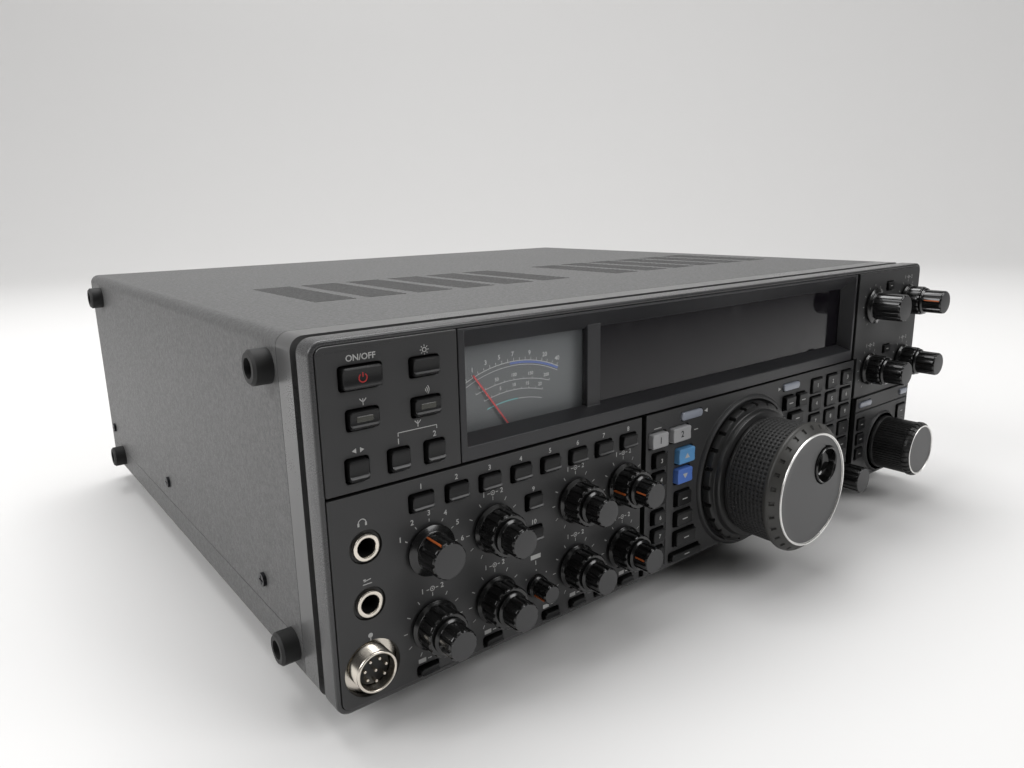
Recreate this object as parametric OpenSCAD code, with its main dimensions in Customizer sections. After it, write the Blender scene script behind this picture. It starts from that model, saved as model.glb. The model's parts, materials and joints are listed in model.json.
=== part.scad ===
// Desktop short-wave transceiver: folded steel covers, a framed front with
// turned knobs, keys, a needle meter and a wide window, and sockets behind.
// Layout frame: x from the left cover, y back from the panel face, z up from
// the underside. The finished parts stand on their feet, centred on the origin.

/* [Case] */
// Width over the side covers
case_w = 410; // [409:1:440]
// Height of the case without its feet
case_h = 132; // [131:1:150]
// Depth from the panel face to the back edge of the covers
case_d = 360; // [340:1:400]
// Thickness of the folded sheet
sheet_t = 1.5; // [1:0.1:2]
// Radius of the long edges of the case
edge_r = 5; // [4:0.5:7]
// Height of the seam between the top and bottom covers
seam_z = 16.5; // [14:0.5:20]
// Free space between parts that lie side by side
slack = 0.3; // [0.2:0.05:0.4]

/* [Front frame] */
// Depth of the plastic frame round the panels
bezel_d = 10; // [9.5:0.5:14]
// Wall of that frame
bezel_t = 1.4; // [1:0.1:1.6]
// Gap between that frame and the panels
bezel_gap = 0.6; // [0.4:0.1:0.9]
// Width of the dark groove behind the frame
groove_w = 5; // [4:0.5:7]
// Depth of the dark groove behind the frame
groove_d = 2.5; // [2:0.1:3.5]
// Depth of the painted casting behind the groove
casting_d = 12; // [11:0.5:16]
// Wall of the casting
casting_t = 3; // [2.5:0.1:4]

/* [Panels] */
// Thickness of the panel mouldings
panel_t = 3; // [2.5:0.1:3.4]
// Height of the line between the lower and upper panels
split_z = 80.2; // [79.5:0.1:82]
// Width of the open joints between panels
joint_w = 3; // [2:0.1:3.6]
// Right edge of the lower left panel
left_edge = 150.8; // [150:0.1:151.5]
// Right edge of the upper left panel
power_edge = 54.4; // [53.6:0.1:55]
// Width of the right panel at its top
right_w = 74.7; // [74:0.1:75.2]
// How far the right panel steps in below its top part, at each of two steps
right_step = 4.1; // [3.5:0.1:4.4]
// Height of the groove across the right panel
right_split = 55.2; // [54.4:0.1:55.6]
// Depth of the recess in front of the meter and the display
recess_d = 8; // [7:0.1:8.5]
// Thickness of the clear windows
window_t = 1.5; // [1:0.1:2]
// Left end of the pillar between meter and display
pillar_x = 123.2; // [122:0.1:124]
// Width of that pillar
pillar_w = 7.6; // [6:0.1:8]
// How far that pillar's front lies behind the panel face
pillar_in = 6; // [5:0.1:6.4]

/* [Keys] */
// How far keys stand out of the panel
key_out = 2.3; // [1.5:0.1:3]
// How far the flat keys beside the two dials stand out
flat_out = 1.2; // [0.8:0.1:2]
// Travel of a key
key_travel = 1; // [0.6:0.1:1.2]
// Free space round a key in its hole
key_gap = 0.45; // [0.3:0.05:0.5]
// Corner radius of a key
key_r = 1; // [0.5:0.1:1.4]
// Side ears that keep a key behind the panel
key_ear = 1.1; // [0.9:0.1:1.3]
// Pitch of the function keys
key_pitch = 15; // [14.6:0.1:15.2]
// Width of a number key
number_w = 11; // [9:0.1:11.2]
// Height of a number key
number_h = 7.8; // [6.4:0.1:8]
// Pitch of the number keys across
number_dx = 16; // [15.6:0.1:16.2]
// Pitch of the number keys down
number_dz = 10.3; // [9.8:0.1:10.5]
// Pitch of the mode keys
mode_dz = 9.25; // [9:0.05:9.35]

/* [Knobs] */
// Radius of a knob's skirt
skirt_r = 9.7; // [9:0.1:10.2]
// Radius of an outer knob's body
outer_r = 8.6; // [8:0.1:8.9]
// How far an outer knob reaches out
outer_out = 10.5; // [9:0.1:11.5]
// Radius of an inner knob's body
inner_r = 5.9; // [5.2:0.1:6.6]
// How far an inner knob reaches out
inner_out = 19.5; // [18:0.1:22]
// Radius of an inner knob's body on the right panel
tall_r = 6.9; // [6.2:0.1:7.2]
// How far an inner knob on the right panel reaches out
tall_out = 23; // [21:0.1:25]
// Radius of a single knob's body
single_r = 7; // [6.5:0.1:7.8]
// How far a single knob reaches out
single_out = 13; // [11:0.1:15]
// How far a long single knob reaches out
long_out = 18.5; // [16:0.1:21]
// Radius of the small knob
small_r = 4.1; // [3.8:0.1:4.4]
// How far the small knob reaches out
small_out = 10; // [8:0.1:12]
// Radius of a control shaft
shaft_r = 3; // [2.6:0.1:3.1]
// Radius of the inner shaft of a double control
core_r = 1.9; // [1.6:0.1:2]
// Running clearance of shafts
run_gap = 0.08; // [0.05:0.01:0.1]
// Gap between a knob and what is behind it
knob_gap = 0.5; // [0.3:0.1:0.8]
// Pitch of the paired knob columns
knob_dx = 28.4; // [28:0.1:28.8]
// Height of the lower knob row
knob_low = 22; // [21.4:0.1:22.4]
// Height of the upper knob row
knob_high = 51.8; // [51:0.1:52.2]

/* [Main dial] */
// Left of the case to the main dial's axis
dial_x = 230; // [229:0.1:231]
// Height of the main dial's axis
dial_z = 36.8; // [36.4:0.1:38]
// Radius of the raised ring on the panel
ring_r = 39.6; // [39:0.1:40]
// How far the raised ring stands out
ring_out = 1.8; // [1:0.1:2.4]
// Outer radius of the drag ring
drag_r = 36; // [35:0.1:36.6]
// How far the drag ring reaches out
drag_out = 8.5; // [7:0.1:9.5]
// Radius of the dial's rubber grip
grip_r = 30.2; // [29:0.1:30.8]
// Radius of the dial's notched rim
rim_r = 32; // [31.4:0.1:33]
// How far the dial reaches out
dial_out = 38.5; // [36:0.1:42]
// Radius of the finger cup's rim
cup_r = 9.3; // [8.6:0.1:10]
// Depth of the finger cup
cup_d = 6.5; // [5.5:0.1:7]
// Dial axis to the finger cup's axis
cup_offset = 14.4; // [13.8:0.1:15]

/* [Sub dial] */
// Right of the case to the sub dial's axis
sub_from_right = 34.2; // [33.6:0.1:34.6]
// Height of the sub dial's axis
sub_z = 21.6; // [21.2:0.1:22]
// Radius of the raised ring round the sub dial
sub_ring_r = 19.6; // [19.2:0.1:20]
// Radius of the sub dial's rim
sub_r = 17; // [16.4:0.1:17.6]
// How far the sub dial reaches out
sub_out = 25.5; // [24:0.1:28]

/* [Sockets] */
// Bore of the jacks, for a 6.35 mm plug
jack_r = 3.25; // [3.2:0.01:3.3]
// Depth of the jacks
jack_d = 30; // [28:0.5:34]
// Outer radius of the microphone socket's thread
mic_r = 7.8; // [7.4:0.1:8]
// How far the microphone socket stands out
mic_out = 3.5; // [2.5:0.1:5]
// Radius of the antenna sockets' thread
antenna_r = 7.94; // [7.7:0.01:8.1]
// How far the antenna sockets stand out behind the covers
antenna_out = 14; // [12:0.5:18]

/* [Feet and vents] */
// Height of the feet
foot_h = 11; // [8:0.5:14]
// Radius of the feet
foot_r = 9; // [8:0.5:11]
// Radius of the bumpers on the left side
bumper_r = 6.4; // [5.8:0.1:7]
// How far the bumpers stand out
bumper_out = 7; // [6:0.1:9]
// Width of one field of vent slits
vent_w = 20.5; // [18:0.5:22]
// Length of one field of vent slits
vent_l = 80; // [72:1:84]
// Pitch of the fields
vent_dx = 26.4; // [25:0.1:27]
// Fields in each of the two groups
vent_count = 6; // [4:1:6]
// Width of one vent slit
slit_w = 2; // [1.6:0.1:2.4]

/* [Fan and inner parts] */
// Side of the square fan
fan_w = 80; // [76:1:84]
// Depth of the fan
fan_d = 25; // [22:0.5:28]
// Height of the deck that carries the main board
deck_z = 62; // [60:0.5:64]

/* [Hidden] */
$fn = 48;

// Layout of the front
mid_x = (case_w - bumper_out) / 2;
mid_y = (case_d + antenna_out - dial_out) / 2;
panel_in = bezel_t + bezel_gap;
panel_top = case_h - panel_in;
groove_y = bezel_d + groove_w;
cover_y = groove_y + casting_d + slack;
centre_x = left_edge + joint_w;
right_x = case_w - panel_in - right_w;
seam_w = 0.4;
bezel_x = power_edge + seam_w;
sub_x = case_w - sub_from_right;
board_y = panel_t + 5;
board_t = 1.6;
pot_d = 8.5;
pot_y = board_y + board_t;
shaft_end = pot_y + 6;
bushing_r = 4.4;
bore_gap = 0.3;
seat_gap = 0.1;

// Knob columns from the left, and from the right edge
col_1 = 39.7;
col_2 = col_1 + knob_dx;
col_4 = left_edge - 11.7;
col_3 = col_4 - knob_dx;
col_5 = case_w - 58.2;
col_6 = case_w - 17;
row_5 = case_h - 21.7;
row_6 = row_5 - 38;
squelch_at = [left_edge - 61.8, 20];
memory_at = [right_x - 12.8, 13.4];

// Places of the knobs
selector_at = [col_1, knob_high];
monitor_at = [col_2, knob_high];
speed_at = [col_3, knob_high];
blanker_at = [col_4, knob_high];
mic_gain_at = [col_1, knob_low];
vox_at = [col_2, knob_low];
main_gain_at = [col_3, knob_low];
sub_gain_at = [col_4, knob_low];
contour_at = [col_5, row_5];
width_at = [col_6, row_5];
notch_at = [col_5, row_6];
clarifier_at = [col_6, row_6];
double_knobs = [monitor_at, speed_at, blanker_at, mic_gain_at, vox_at, main_gain_at,
    sub_gain_at, width_at, notch_at, clarifier_at];
single_knobs = [selector_at, squelch_at, contour_at, memory_at];
dial_at = [dial_x, dial_z];
sub_at = [sub_x, sub_z];
cup_at = dial_at + cup_offset * [sin(45), cos(45)];

// Sockets on the left panel
jack_x = 14.6;
phones_at = [jack_x, 60.3];
key_jack_at = [jack_x, 39.3];
mic_at = [jack_x - 0.4, 14.6];
jack_recess_r = 6;
mic_recess_r = 10.6;

// Keys, each as its middle in x and z, its width and its height
power_row = case_h - 13;
power_key = [[16.8, power_row, 14.6, 7.2]];
upper_keys = [
    for (at = [[16.6, power_row - 14], [40.7, power_row], [40.7, power_row - 14]])
        [at[0], at[1], 11, 6.2],
    for (x = [13.5, 29, 43.3]) [x, split_z + 8, 7.7, 7.5]];
function_z = split_z - 9.4;
function_keys = [for (i = [0:7]) [left_edge - 113.8 + i * key_pitch, function_z, 9.4, 6]];
pair_keys = [for (z = [knob_high + 5.4, knob_high - 8.6]) [left_edge - 62.7, z, 7.9, 6]];
slim_keys = [for (i = [0, 2, 4, 5, 6, 7]) [left_edge - 114.4 + i * key_pitch, 5, 8.4, 3.2]];
low_keys = concat(function_keys, pair_keys, slim_keys);
mode_top = split_z - 13;
mode_x = centre_x + 8.6;
mode_keys_at = concat([[centre_x + 7.6, mode_top, 11.2, 6.8], [centre_x + 22.6, mode_top, 13, 6.8]],
    [for (i = [1:6]) [mode_x, mode_top - 0.6 - i * mode_dz, 8.4, 6.4]]);
store_x = dial_x - 49.6;
dial_keys_at = [
    [store_x, dial_z + 19.2, 12, 7.2], [store_x - 1, dial_z + 9.5, 11.2, 7.2],
    [store_x - 0.6, dial_z - 2.1, 10.6, 7], [store_x, dial_z - 12.4, 12, 7],
    [store_x + 1.6, dial_z - 22.5, 15, 7], [store_x + 2.4, 5.4, 22, 3.8],
    [dial_x + 36.4, dial_z + 29.3, 9.6, 7.2], [dial_x + 48.4, dial_z + 29.3, 8.4, 7.2],
    [dial_x + 43.6, dial_z + 19.6, 12.6, 6.6]];
number_x = right_x - 39.2;
number_top = split_z - 9;
number_keys_at = [for (row = [0:4], col = [0:2])
    [number_x + col * number_dx, number_top - row * number_dz, number_w, number_h]];
right_keys_at = concat(
    [[col_5 + 18, row_5 + 10.5, 7.6, 4.6], [col_5 + 20.2, row_6 + 9.7, 8.2, 4.6]],
    [for (z = [16.2, 6.8, -2.6]) [sub_x - 27.2, sub_z + z, 8.6, 6.8]],
    [[sub_x + 23.8, sub_z + 15.8, 11, 8.6]]);
all_keys = concat(power_key, upper_keys, low_keys, mode_keys_at, dial_keys_at, number_keys_at, right_keys_at);

// Light bars beside the dials
lenses_at = [[dial_x - 45, split_z - 5.4, 15, 3.8], [dial_x + 38.4, split_z - 5.4, 15, 3.8],
    [sub_x - 23.8, right_split - 5, 14, 3.4], [sub_x + 25, right_split - 5, 9.6, 3.4]];
lens_out = 0.8;

// Window recess, measured from the panels' edges
open_left = bezel_x + 2.8;
open_right = right_x - joint_w - 1.6;
open_low = split_z + 6;
open_high = panel_top - 0.8;
taper_side = 2.2;
taper_low = 2.9;
taper_high = 7.8;
window_low = open_low + taper_low;
window_high = open_high - taper_high;
window_lap = 1.5;
window_y = recess_d;
meter_x = (open_left + pillar_x) / 2 - 3.2;
pivot_z = split_z + 2.6;
needle_r = 31.5;
needle_rest = -36.6;
needle_y = window_y + window_t + 1.1;
dial_plate_y = needle_y + 1.4;

// Screws and feet on the covers
screw_r = 2.9;
screw_h = 1.4;
screw_z = seam_z + 11.5;
screw_ys = [cover_y + 36, (cover_y + case_d) / 2 + 14, case_d - 12];
shank_r = 1.4;
shank_l = 6;
bumper_ys = [cover_y + 8.8, case_d - 30];
bumper_zs = [seam_z - 4.1, case_h - 12.5];
foot_in = 48;
rear_y = case_d - 4;
rear_t = 2;
rail_in = sheet_t + slack;
rail_t = 2;
rail_low = seam_z + 2;
deck_y = jack_d + 4;

// Places of the sockets behind, seen from the front
antenna_body_r = 6.5;
antennas = [[46, case_h - 36], [86, case_h - 36]];
flange_half = 12.7;
flange_hole = 9.1;
ground_at = [22, case_h - 36];
phono_row = [for (i = [0:3]) [case_w - 90 + i * 16, case_h - 30]];
round_row = [for (i = [0:1]) [case_w - 86 + i * 28, case_h - 58]];
inlet_at = [46, 30];

// Pins of the microphone socket, one in the middle and a ring of seven
mic_pin_r = 0.6;
mic_ring_r = 4.2;
pin_turn = 360 / 7;
mic_pins = concat([mic_at],
    [for (i = [0:6]) mic_at + mic_ring_r * [sin(i * pin_turn + 180), cos(i * pin_turn + 180)]]);

// Fan behind the back plate
fan_at = [case_w / 2, case_h / 2];
hub_r = 15;
fan_pin_r = 3;

module place() {
    translate([-mid_x, -mid_y, foot_h]) children();
}

// Round bar along y at a place on the panel
module bar_y(at, y0, y1, r) {
    translate([at[0], y0, at[1]]) rotate([-90, 0, 0]) cylinder(h = y1 - y0, r = r);
}

// Block from its low corner and its high corner
module block(low, high) {
    translate(low) cube(high - low);
}

// Rectangle with round corners, from its low corner
module round_plate(w, h, r) {
    translate([r, 0]) square([w - 2 * r, h]);
    translate([0, r]) square([w, h - 2 * r]);
    for (x = [r, w - r], y = [r, h - r]) translate([x, y]) circle(r);
}

// Slab with round corners that faces the front
module slab(x, z, w, h, r, y0, y1) {
    translate([x, y1, z]) rotate([90, 0, 0]) linear_extrude(y1 - y0) round_plate(w, h, r);
}

// Slab of the case's outline drawn in by a margin
module outline_slab(margin, y0, y1) {
    slab(margin, margin, case_w - 2 * margin, case_h - 2 * margin, max(edge_r - margin, 1), y0, y1);
}

// Frame of the case's outline between two margins
module outline_ring(outer, inner, y0, y1) {
    difference() {
        outline_slab(outer, y0, y1);
        outline_slab(inner, y0 - 1, y1 + 1);
    }
}

// Body turned about an axis along y, from points of radius and reach
module turned(at, points) {
    translate([at[0], 0, at[1]]) rotate([90, 0, 0]) rotate_extrude() polygon(points);
}

// Key slab, or the hole for it when grown
module key_slab(key, grow, y0, y1) {
    slab(key[0] - key[2] / 2 - grow, key[1] - key[3] / 2 - grow,
        key[2] + 2 * grow, key[3] + 2 * grow, key_r, y0, y1);
}

// Key with the ears behind the panel that stop it from coming out
module key_cap(key, reach) {
    ear_y = panel_t + slack;
    key_slab(key, 0, -reach, ear_y + 1);
    block([key[0] - key[2] / 2 - key_ear, ear_y, key[1] - key[3] / 4],
        [key[0] + key[2] / 2 + key_ear, ear_y + 1, key[1] + key[3] / 4]);
}

module key_holes(keys) {
    for (key = keys) key_slab(key, key_gap, -1, panel_t + 1);
}

module shaft_holes(places) {
    for (at = places) bar_y(at, -1, panel_t + 1, bushing_r + bore_gap);
}

// Area of the front that the panels fill
module panel_field(low_x, high_x, low_z, high_z) {
    intersection() {
        outline_slab(panel_in, 0, panel_t);
        block([low_x, -1, low_z], [high_x, panel_t + 1, high_z]);
    }
}

module top_cover() {
    color("#3b3d3f") place() difference() {
        intersection() {
            outline_ring(0, sheet_t, cover_y, case_d);
            block([-1, 0, seam_z + slack / 2], [case_w + 1, case_d + 1, case_h + 1]);
        }
        vent_slits();
        for (y = screw_ys, side = [0, 1]) screw_hole(y, side);
    }
}

// Two groups of fields of slits across the top
module vent_slits() {
    pitch = slit_w + 2;
    rows = floor(vent_l / pitch);
    starts = [45, case_w - 24 - vent_w - (vent_count - 1) * vent_dx];
    for (start = starts, i = [0:vent_count - 1], j = [0:rows - 1])
        translate([start + i * vent_dx, cover_y + 70 + j * pitch, case_h - sheet_t - 1])
            cube([vent_w, slit_w, sheet_t + 2]);
}

module screw_hole(y, side) {
    translate([side * (case_w - 2 * sheet_t) - slack, y, screw_z])
        rotate([0, 90, 0]) cylinder(h = 2 * sheet_t + 2 * slack, r = shank_r + 0.3);
}

module bottom_cover() {
    color("#37393b") place() difference() {
        intersection() {
            outline_ring(0, sheet_t, cover_y, case_d);
            block([-1, 0, -1], [case_w + 1, case_d + 1, seam_z - slack / 2]);
        }
        for (i = [0:9], x = [case_w / 4, case_w * 3 / 4])
            block([x - 30, case_d / 2 - 40 + i * 8, -1], [x + 30, case_d / 2 - 38 + i * 8, sheet_t + 1]);
    }
}

// Front casting with its bulkhead, then the two side rails and the deck
module chassis_frame() {
    back = groove_y + casting_d;
    wall_y = back - 2.5;
    color("#4a4c4e") place() {
        outline_ring(0, casting_t, groove_y, back);
        intersection() {
            outline_slab(casting_t + seat_gap, wall_y, back);
            block([jack_x + jack_recess_r + 2, wall_y - 1, 0], [case_w, back + 1, case_h]);
        }
        difference() {
            union() {
                for (x = [rail_in, case_w - rail_in - rail_t])
                    block([x, back + 0.1, rail_low], [x + rail_t, rear_y, case_h - 4]);
                block([rail_in, deck_y, deck_z - 2], [case_w - rail_in, rear_y - fan_d - 6, deck_z]);
            }
            for (y = screw_ys, x = [-1, case_w - shank_l - 3])
                translate([x, y, screw_z]) rotate([0, 90, 0])
                    cylinder(h = shank_l + 4, r = shank_r + 0.2);
        }
    }
}

// Back plate with the fan's grille and the holes of the sockets
module rear_panel() {
    color("#2e3032") place() difference() {
        outline_slab(rail_in, rear_y, rear_y + rear_t);
        intersection() {
            bar_y(fan_at, rear_y - 1, rear_y + rear_t + 1, fan_w / 2 - 4);
            for (i = [-6:6])
                block([fan_at[0] - fan_w, rear_y - 1, fan_at[1] + i * 5.5 - 1.9],
                    [fan_at[0] + fan_w, rear_y + rear_t + 1, fan_at[1] + i * 5.5 + 1.9]);
        }
        for (at = antennas) bar_y(at, rear_y - 1, rear_y + rear_t + 1, antenna_body_r + slack);
        for (at = phono_row) bar_y(at, rear_y - 1, rear_y + rear_t + 1, 3.6);
        for (at = round_row) bar_y(at, rear_y - 1, rear_y + rear_t + 1, 6.6);
        bar_y(ground_at, rear_y - 1, rear_y + rear_t + 1, 2.3);
        block([inlet_at[0] - 12, rear_y - 1, inlet_at[1] - 8],
            [inlet_at[0] + 12, rear_y + rear_t + 1, inlet_at[1] + 8]);
    }
}

module rear_sockets() {
    back = rear_y + rear_t;
    color("#b8b9ba") place() {
        for (at = antennas) difference() {
            union() {
                block([at[0] - flange_half, back, at[1] - flange_half],
                    [at[0] + flange_half, back + 2, at[1] + flange_half]);
                bar_y(at, back, case_d + antenna_out, antenna_r);
                bar_y(at, rear_y - 8, back + 1, antenna_body_r);
            }
            bar_y(at, back + 4, case_d + antenna_out + 1, antenna_r - 1.6);
            for (x = [-flange_hole, flange_hole], z = [-flange_hole, flange_hole])
                bar_y([at[0] + x, at[1] + z], back - 1, back + 3, 1.6);
        }
        for (at = antennas) difference() {
            bar_y(at, back + 4.05, case_d + antenna_out - 4, antenna_r - 1.7);
            bar_y(at, back + 7, case_d + antenna_out, 2);
        }
        for (at = phono_row) difference() {
            union() {
                bar_y(at, back, back + 9, 4.15);
                bar_y(at, back, back + 1.5, 6.5);
                bar_y(at, rear_y - 5, back + 1, 3.3);
            }
            bar_y(at, back + 1, back + 10, 3.4);
        }
        for (at = phono_row) difference() {
            bar_y(at, back + 1.05, back + 8, 3.3);
            bar_y(at, back + 2, back + 9, 1.6);
        }
        for (at = round_row) {
            difference() {
                union() {
                    bar_y(at, back, back + 3, 8.5);
                    bar_y(at, rear_y - 8, back + 1, 6.3);
                }
                bar_y(at, rear_y - 6, back + 4, 5.3);
            }
            bar_y(at, rear_y - 6 + seat_gap, back - 1, 5.3 - seat_gap);
            for (a = [-90:45:90])
                bar_y([at[0] + 3.4 * sin(a), at[1] + 3.4 * cos(a)], back - 1 + seat_gap, back + 2.2, 0.6);
        }
        union() {
            bar_y(ground_at, rear_y - 6, back + 14, 2);
            bar_y(ground_at, back, back + 2, 4.5);
            translate([ground_at[0], back + 5, ground_at[1]]) rotate([-90, 0, 0])
                cylinder(h = 5, r = 6, $fn = 6);
        }
        difference() {
            union() {
                block([inlet_at[0] - 14.5, back, inlet_at[1] - 11],
                    [inlet_at[0] + 14.5, back + 2, inlet_at[1] + 11]);
                block([inlet_at[0] - 11.6, rear_y - 20, inlet_at[1] - 7.6],
                    [inlet_at[0] + 11.6, back + 1, inlet_at[1] + 7.6]);
            }
            block([inlet_at[0] - 10, rear_y - 16, inlet_at[1] - 6],
                [inlet_at[0] + 10, back + 3, inlet_at[1] + 6]);
        }
        for (x = [-6, 0, 6])
            block([inlet_at[0] + x - 0.9, rear_y - 15.95, inlet_at[1] - 2],
                [inlet_at[0] + x + 0.9, rear_y - 2, inlet_at[1] + 2]);
    }
}

// Plastic frame: outer wall, seat for the panels, web and the wall of the groove
module front_bezel() {
    seat = panel_in + 0.8;
    color("#2f3133") place() difference() {
        union() {
            outline_ring(0, bezel_t, 0.5, bezel_d);
            outline_ring(bezel_t / 2, seat, panel_t, panel_t + 1.5);
            outline_ring(bezel_t / 2, groove_d + 1.5, bezel_d - 1.5, bezel_d);
            outline_ring(groove_d, groove_d + 1.5, bezel_d - 1, groove_y);
        }
        bar_y(dial_at, -1, panel_t + slack, ring_r + slack);
    }
}

module left_panel() {
    color("#343638") place() difference() {
        panel_field(0, left_edge, 0, split_z - 0.5);
        key_holes(low_keys);
        shaft_holes([selector_at, monitor_at, speed_at, blanker_at, mic_gain_at, vox_at,
            main_gain_at, sub_gain_at, squelch_at]);
        for (at = [phones_at, key_jack_at]) {
            bar_y(at, -1, 1.2, jack_recess_r);
            bar_y(at, -1, panel_t + 1, jack_r + 1.3);
        }
        bar_y(mic_at, -1, panel_t + 1, mic_recess_r);
    }
}

module power_panel() {
    color("#343638") place() difference() {
        panel_field(0, power_edge, split_z + 0.5, case_h);
        key_holes(concat(power_key, upper_keys));
    }
}

// Deep frame whose walls slope in to the meter and the display
module display_bezel() {
    low_x = bezel_x;
    high_x = right_x - joint_w;
    color("#26282b") place() difference() {
        union() {
            panel_field(low_x, high_x, split_z + 0.5, case_h);
            block([low_x, 0, split_z + 0.5], [high_x, recess_d, open_low + 6]);
            block([low_x, 0, window_high], [high_x, recess_d, open_high - seat_gap]);
            block([pillar_x, pillar_in, open_low], [pillar_x + pillar_w, recess_d, open_high - seat_gap]);
            block([low_x, 0, split_z + 2], [open_left + 3, recess_d, open_high - seat_gap]);
            block([open_right - 3, 0, split_z + 2], [high_x, recess_d, open_high - seat_gap]);
        }
        difference() {
            intersection() {
                window_walls_up();
                window_walls_side();
            }
            block([pillar_x, pillar_in, split_z], [pillar_x + pillar_w, recess_d + 1, case_h]);
        }
    }
}

// Recess cut by its upper and lower walls
module window_walls_up() {
    translate([bezel_x, 0, 0]) rotate([90, 0, 90]) linear_extrude(case_w)
        polygon([[-1, open_low], [0, open_low], [recess_d, window_low], [recess_d + 1, window_low],
            [recess_d + 1, window_high], [recess_d, window_high], [0, open_high], [-1, open_high]]);
}

// Recess cut by its end walls
module window_walls_side() {
    linear_extrude(case_h)
        polygon([[open_left, -1], [open_left, 0], [open_left + taper_side, recess_d],
            [open_left + taper_side, recess_d + 1], [open_right - taper_side, recess_d + 1],
            [open_right - taper_side, recess_d], [open_right, 0], [open_right, -1]]);
}

module centre_panel() {
    color("#2f3133") place() difference() {
        union() {
            panel_field(centre_x, right_x + right_step - joint_w, 0, split_z - 0.5);
            turned(dial_at, [[0, -panel_t], [ring_r, -panel_t], [ring_r, 0.6], [ring_r - 1, ring_out],
                [ring_r - 2, ring_out], [drag_r + 0.6, 0], [0, 0]]);
        }
        key_holes(concat(mode_keys_at, dial_keys_at, number_keys_at));
        for (lens = [lenses_at[0], lenses_at[1]]) key_slab(lens, 0.1, -1, panel_t + 1);
        shaft_holes([dial_at, memory_at]);
        block([centre_x + 14.4, -1, 3], [centre_x + 15, 0.6, split_z - 20]);
    }
}

module right_panel() {
    steps = [for (i = [0:2]) right_x + i * right_step];
    color("#343638") place() difference() {
        union() {
            panel_field(steps[0], case_w, split_z, case_h);
            panel_field(steps[1], case_w, right_split, split_z + 1);
            panel_field(steps[2], case_w, 0, right_split + 1);
            turned(sub_at, [[0, -1], [sub_ring_r, -1], [sub_ring_r, 0.4], [sub_ring_r - 0.8, 1.2],
                [sub_ring_r - 1.6, 1.2], [sub_ring_r - 2, 0], [0, 0]]);
        }
        block([right_x, -1, right_split - 0.6], [case_w, 1.4, right_split + 0.6]);
        block([right_x, -1, right_split - 9.8], [case_w, 0.5, right_split - 9.2]);
        key_holes(right_keys_at);
        for (lens = [lenses_at[2], lenses_at[3]]) key_slab(lens, 0.1, -1, panel_t + 1);
        shaft_holes([contour_at, width_at, notch_at, clarifier_at, sub_at]);
    }
}

// Clear sheet behind the recess
module window_sheet(x0, x1) {
    block([x0, window_y, window_low - window_lap], [x1, window_y + window_t, window_high + window_lap]);
}

module display_window() {
    color("#0c0d10") place()
        window_sheet(pillar_x + pillar_w / 2 + slack, open_right - taper_side + window_lap);
}

module meter_window() {
    color("#c8d0d4", 0.4) place()
        window_sheet(open_left + taper_side - window_lap, pillar_x + pillar_w / 2 - slack);
}

// Scale plate with the case of the movement behind it and the needle's pivot
module meter_dial() {
    x0 = open_left + taper_side - window_lap;
    x1 = pillar_x + pillar_w / 2 - slack;
    high = window_high + window_lap;
    back = groove_y + casting_d - 2.5;
    color("#1b1c1e") place() union() {
        difference() {
            block([x0, window_y + window_t, pivot_z - 2.5], [x1, back - 1, high]);
            block([x0 + 1, window_y, pivot_z - 1.9], [x1 - 1, dial_plate_y, high - 1]);
        }
        bar_y([meter_x, pivot_z + 1.4], needle_y - 0.6, dial_plate_y + 1, 0.8);
    }
}

module meter_needle() {
    at = [meter_x, pivot_z + 1.4];
    color("#e0413c") place() difference() {
        union() {
            bar_y(at, needle_y - 0.4, needle_y + 0.9, 2.4);
            translate([at[0], needle_y, at[1]]) rotate([0, needle_rest, 0])
                translate([-0.3, 0, 0]) cube([0.6, 0.5, needle_r]);
        }
        bar_y(at, needle_y - 2, needle_y + 2, 0.8 + run_gap);
    }
}

// Four feet below and four bumpers on the left side
module rubber_feet() {
    color("#1c1c1d") place() {
        for (x = [foot_in, case_w - foot_in], y = [cover_y + foot_in - 25, case_d - foot_in])
            translate([x, y, -foot_h]) difference() {
                rotate_extrude() polygon([[0, 0], [foot_r - 1.5, 0], [foot_r, 1.5], [foot_r, foot_h - 3],
                    [foot_r + 1.5, foot_h], [0, foot_h]]);
                translate([0, 0, -1]) cylinder(h = foot_h / 2, r = foot_r / 2.4);
            }
        for (y = bumper_ys, z = bumper_zs)
            translate([0, y, z]) rotate([0, -90, 0]) difference() {
                rotate_extrude() polygon([[0, 0], [bumper_r, 0], [bumper_r, bumper_out - 1],
                    [bumper_r - 1, bumper_out], [0, bumper_out]]);
                translate([0, 0, bumper_out - 4]) cylinder(h = 5, r = bumper_r * 0.58);
            }
    }
}

// Pan head screw that holds a cover to its rail, head at the outer face
module side_screw(y, side) {
    translate([side * case_w, y, screw_z]) rotate([0, side == 0 ? 90 : -90, 0]) difference() {
        union() {
            translate([0, 0, -screw_h]) cylinder(h = screw_h, r = screw_r);
            cylinder(h = shank_l, r = shank_r);
        }
        for (a = [0, 90]) rotate([0, 0, a]) translate([-2, -0.4, -screw_h - 1]) cube([4, 0.8, 1.7]);
    }
}

module cover_screws() {
    color("#202122") place() {
        for (y = screw_ys, side = [0, 1]) side_screw(y, side);
        for (y = bumper_ys, z = bumper_zs)
            translate([-bumper_out + 4, y, z]) rotate([0, -90, 0]) cylinder(h = 1.6, r = screw_r);
    }
}

// Two quarter inch jacks with their bright nuts
module front_jacks() {
    color("#d8d4cc") place() for (at = [phones_at, key_jack_at]) difference() {
        union() {
            bar_y(at, -0.7, 1.2, 4.9);
            bar_y(at, 0, panel_t + 1, jack_r + 1);
            bar_y(at, panel_t + slack, jack_d, jack_r + 2.6);
        }
        bar_y(at, -2, jack_d - 2, jack_r);
    }
}

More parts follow.
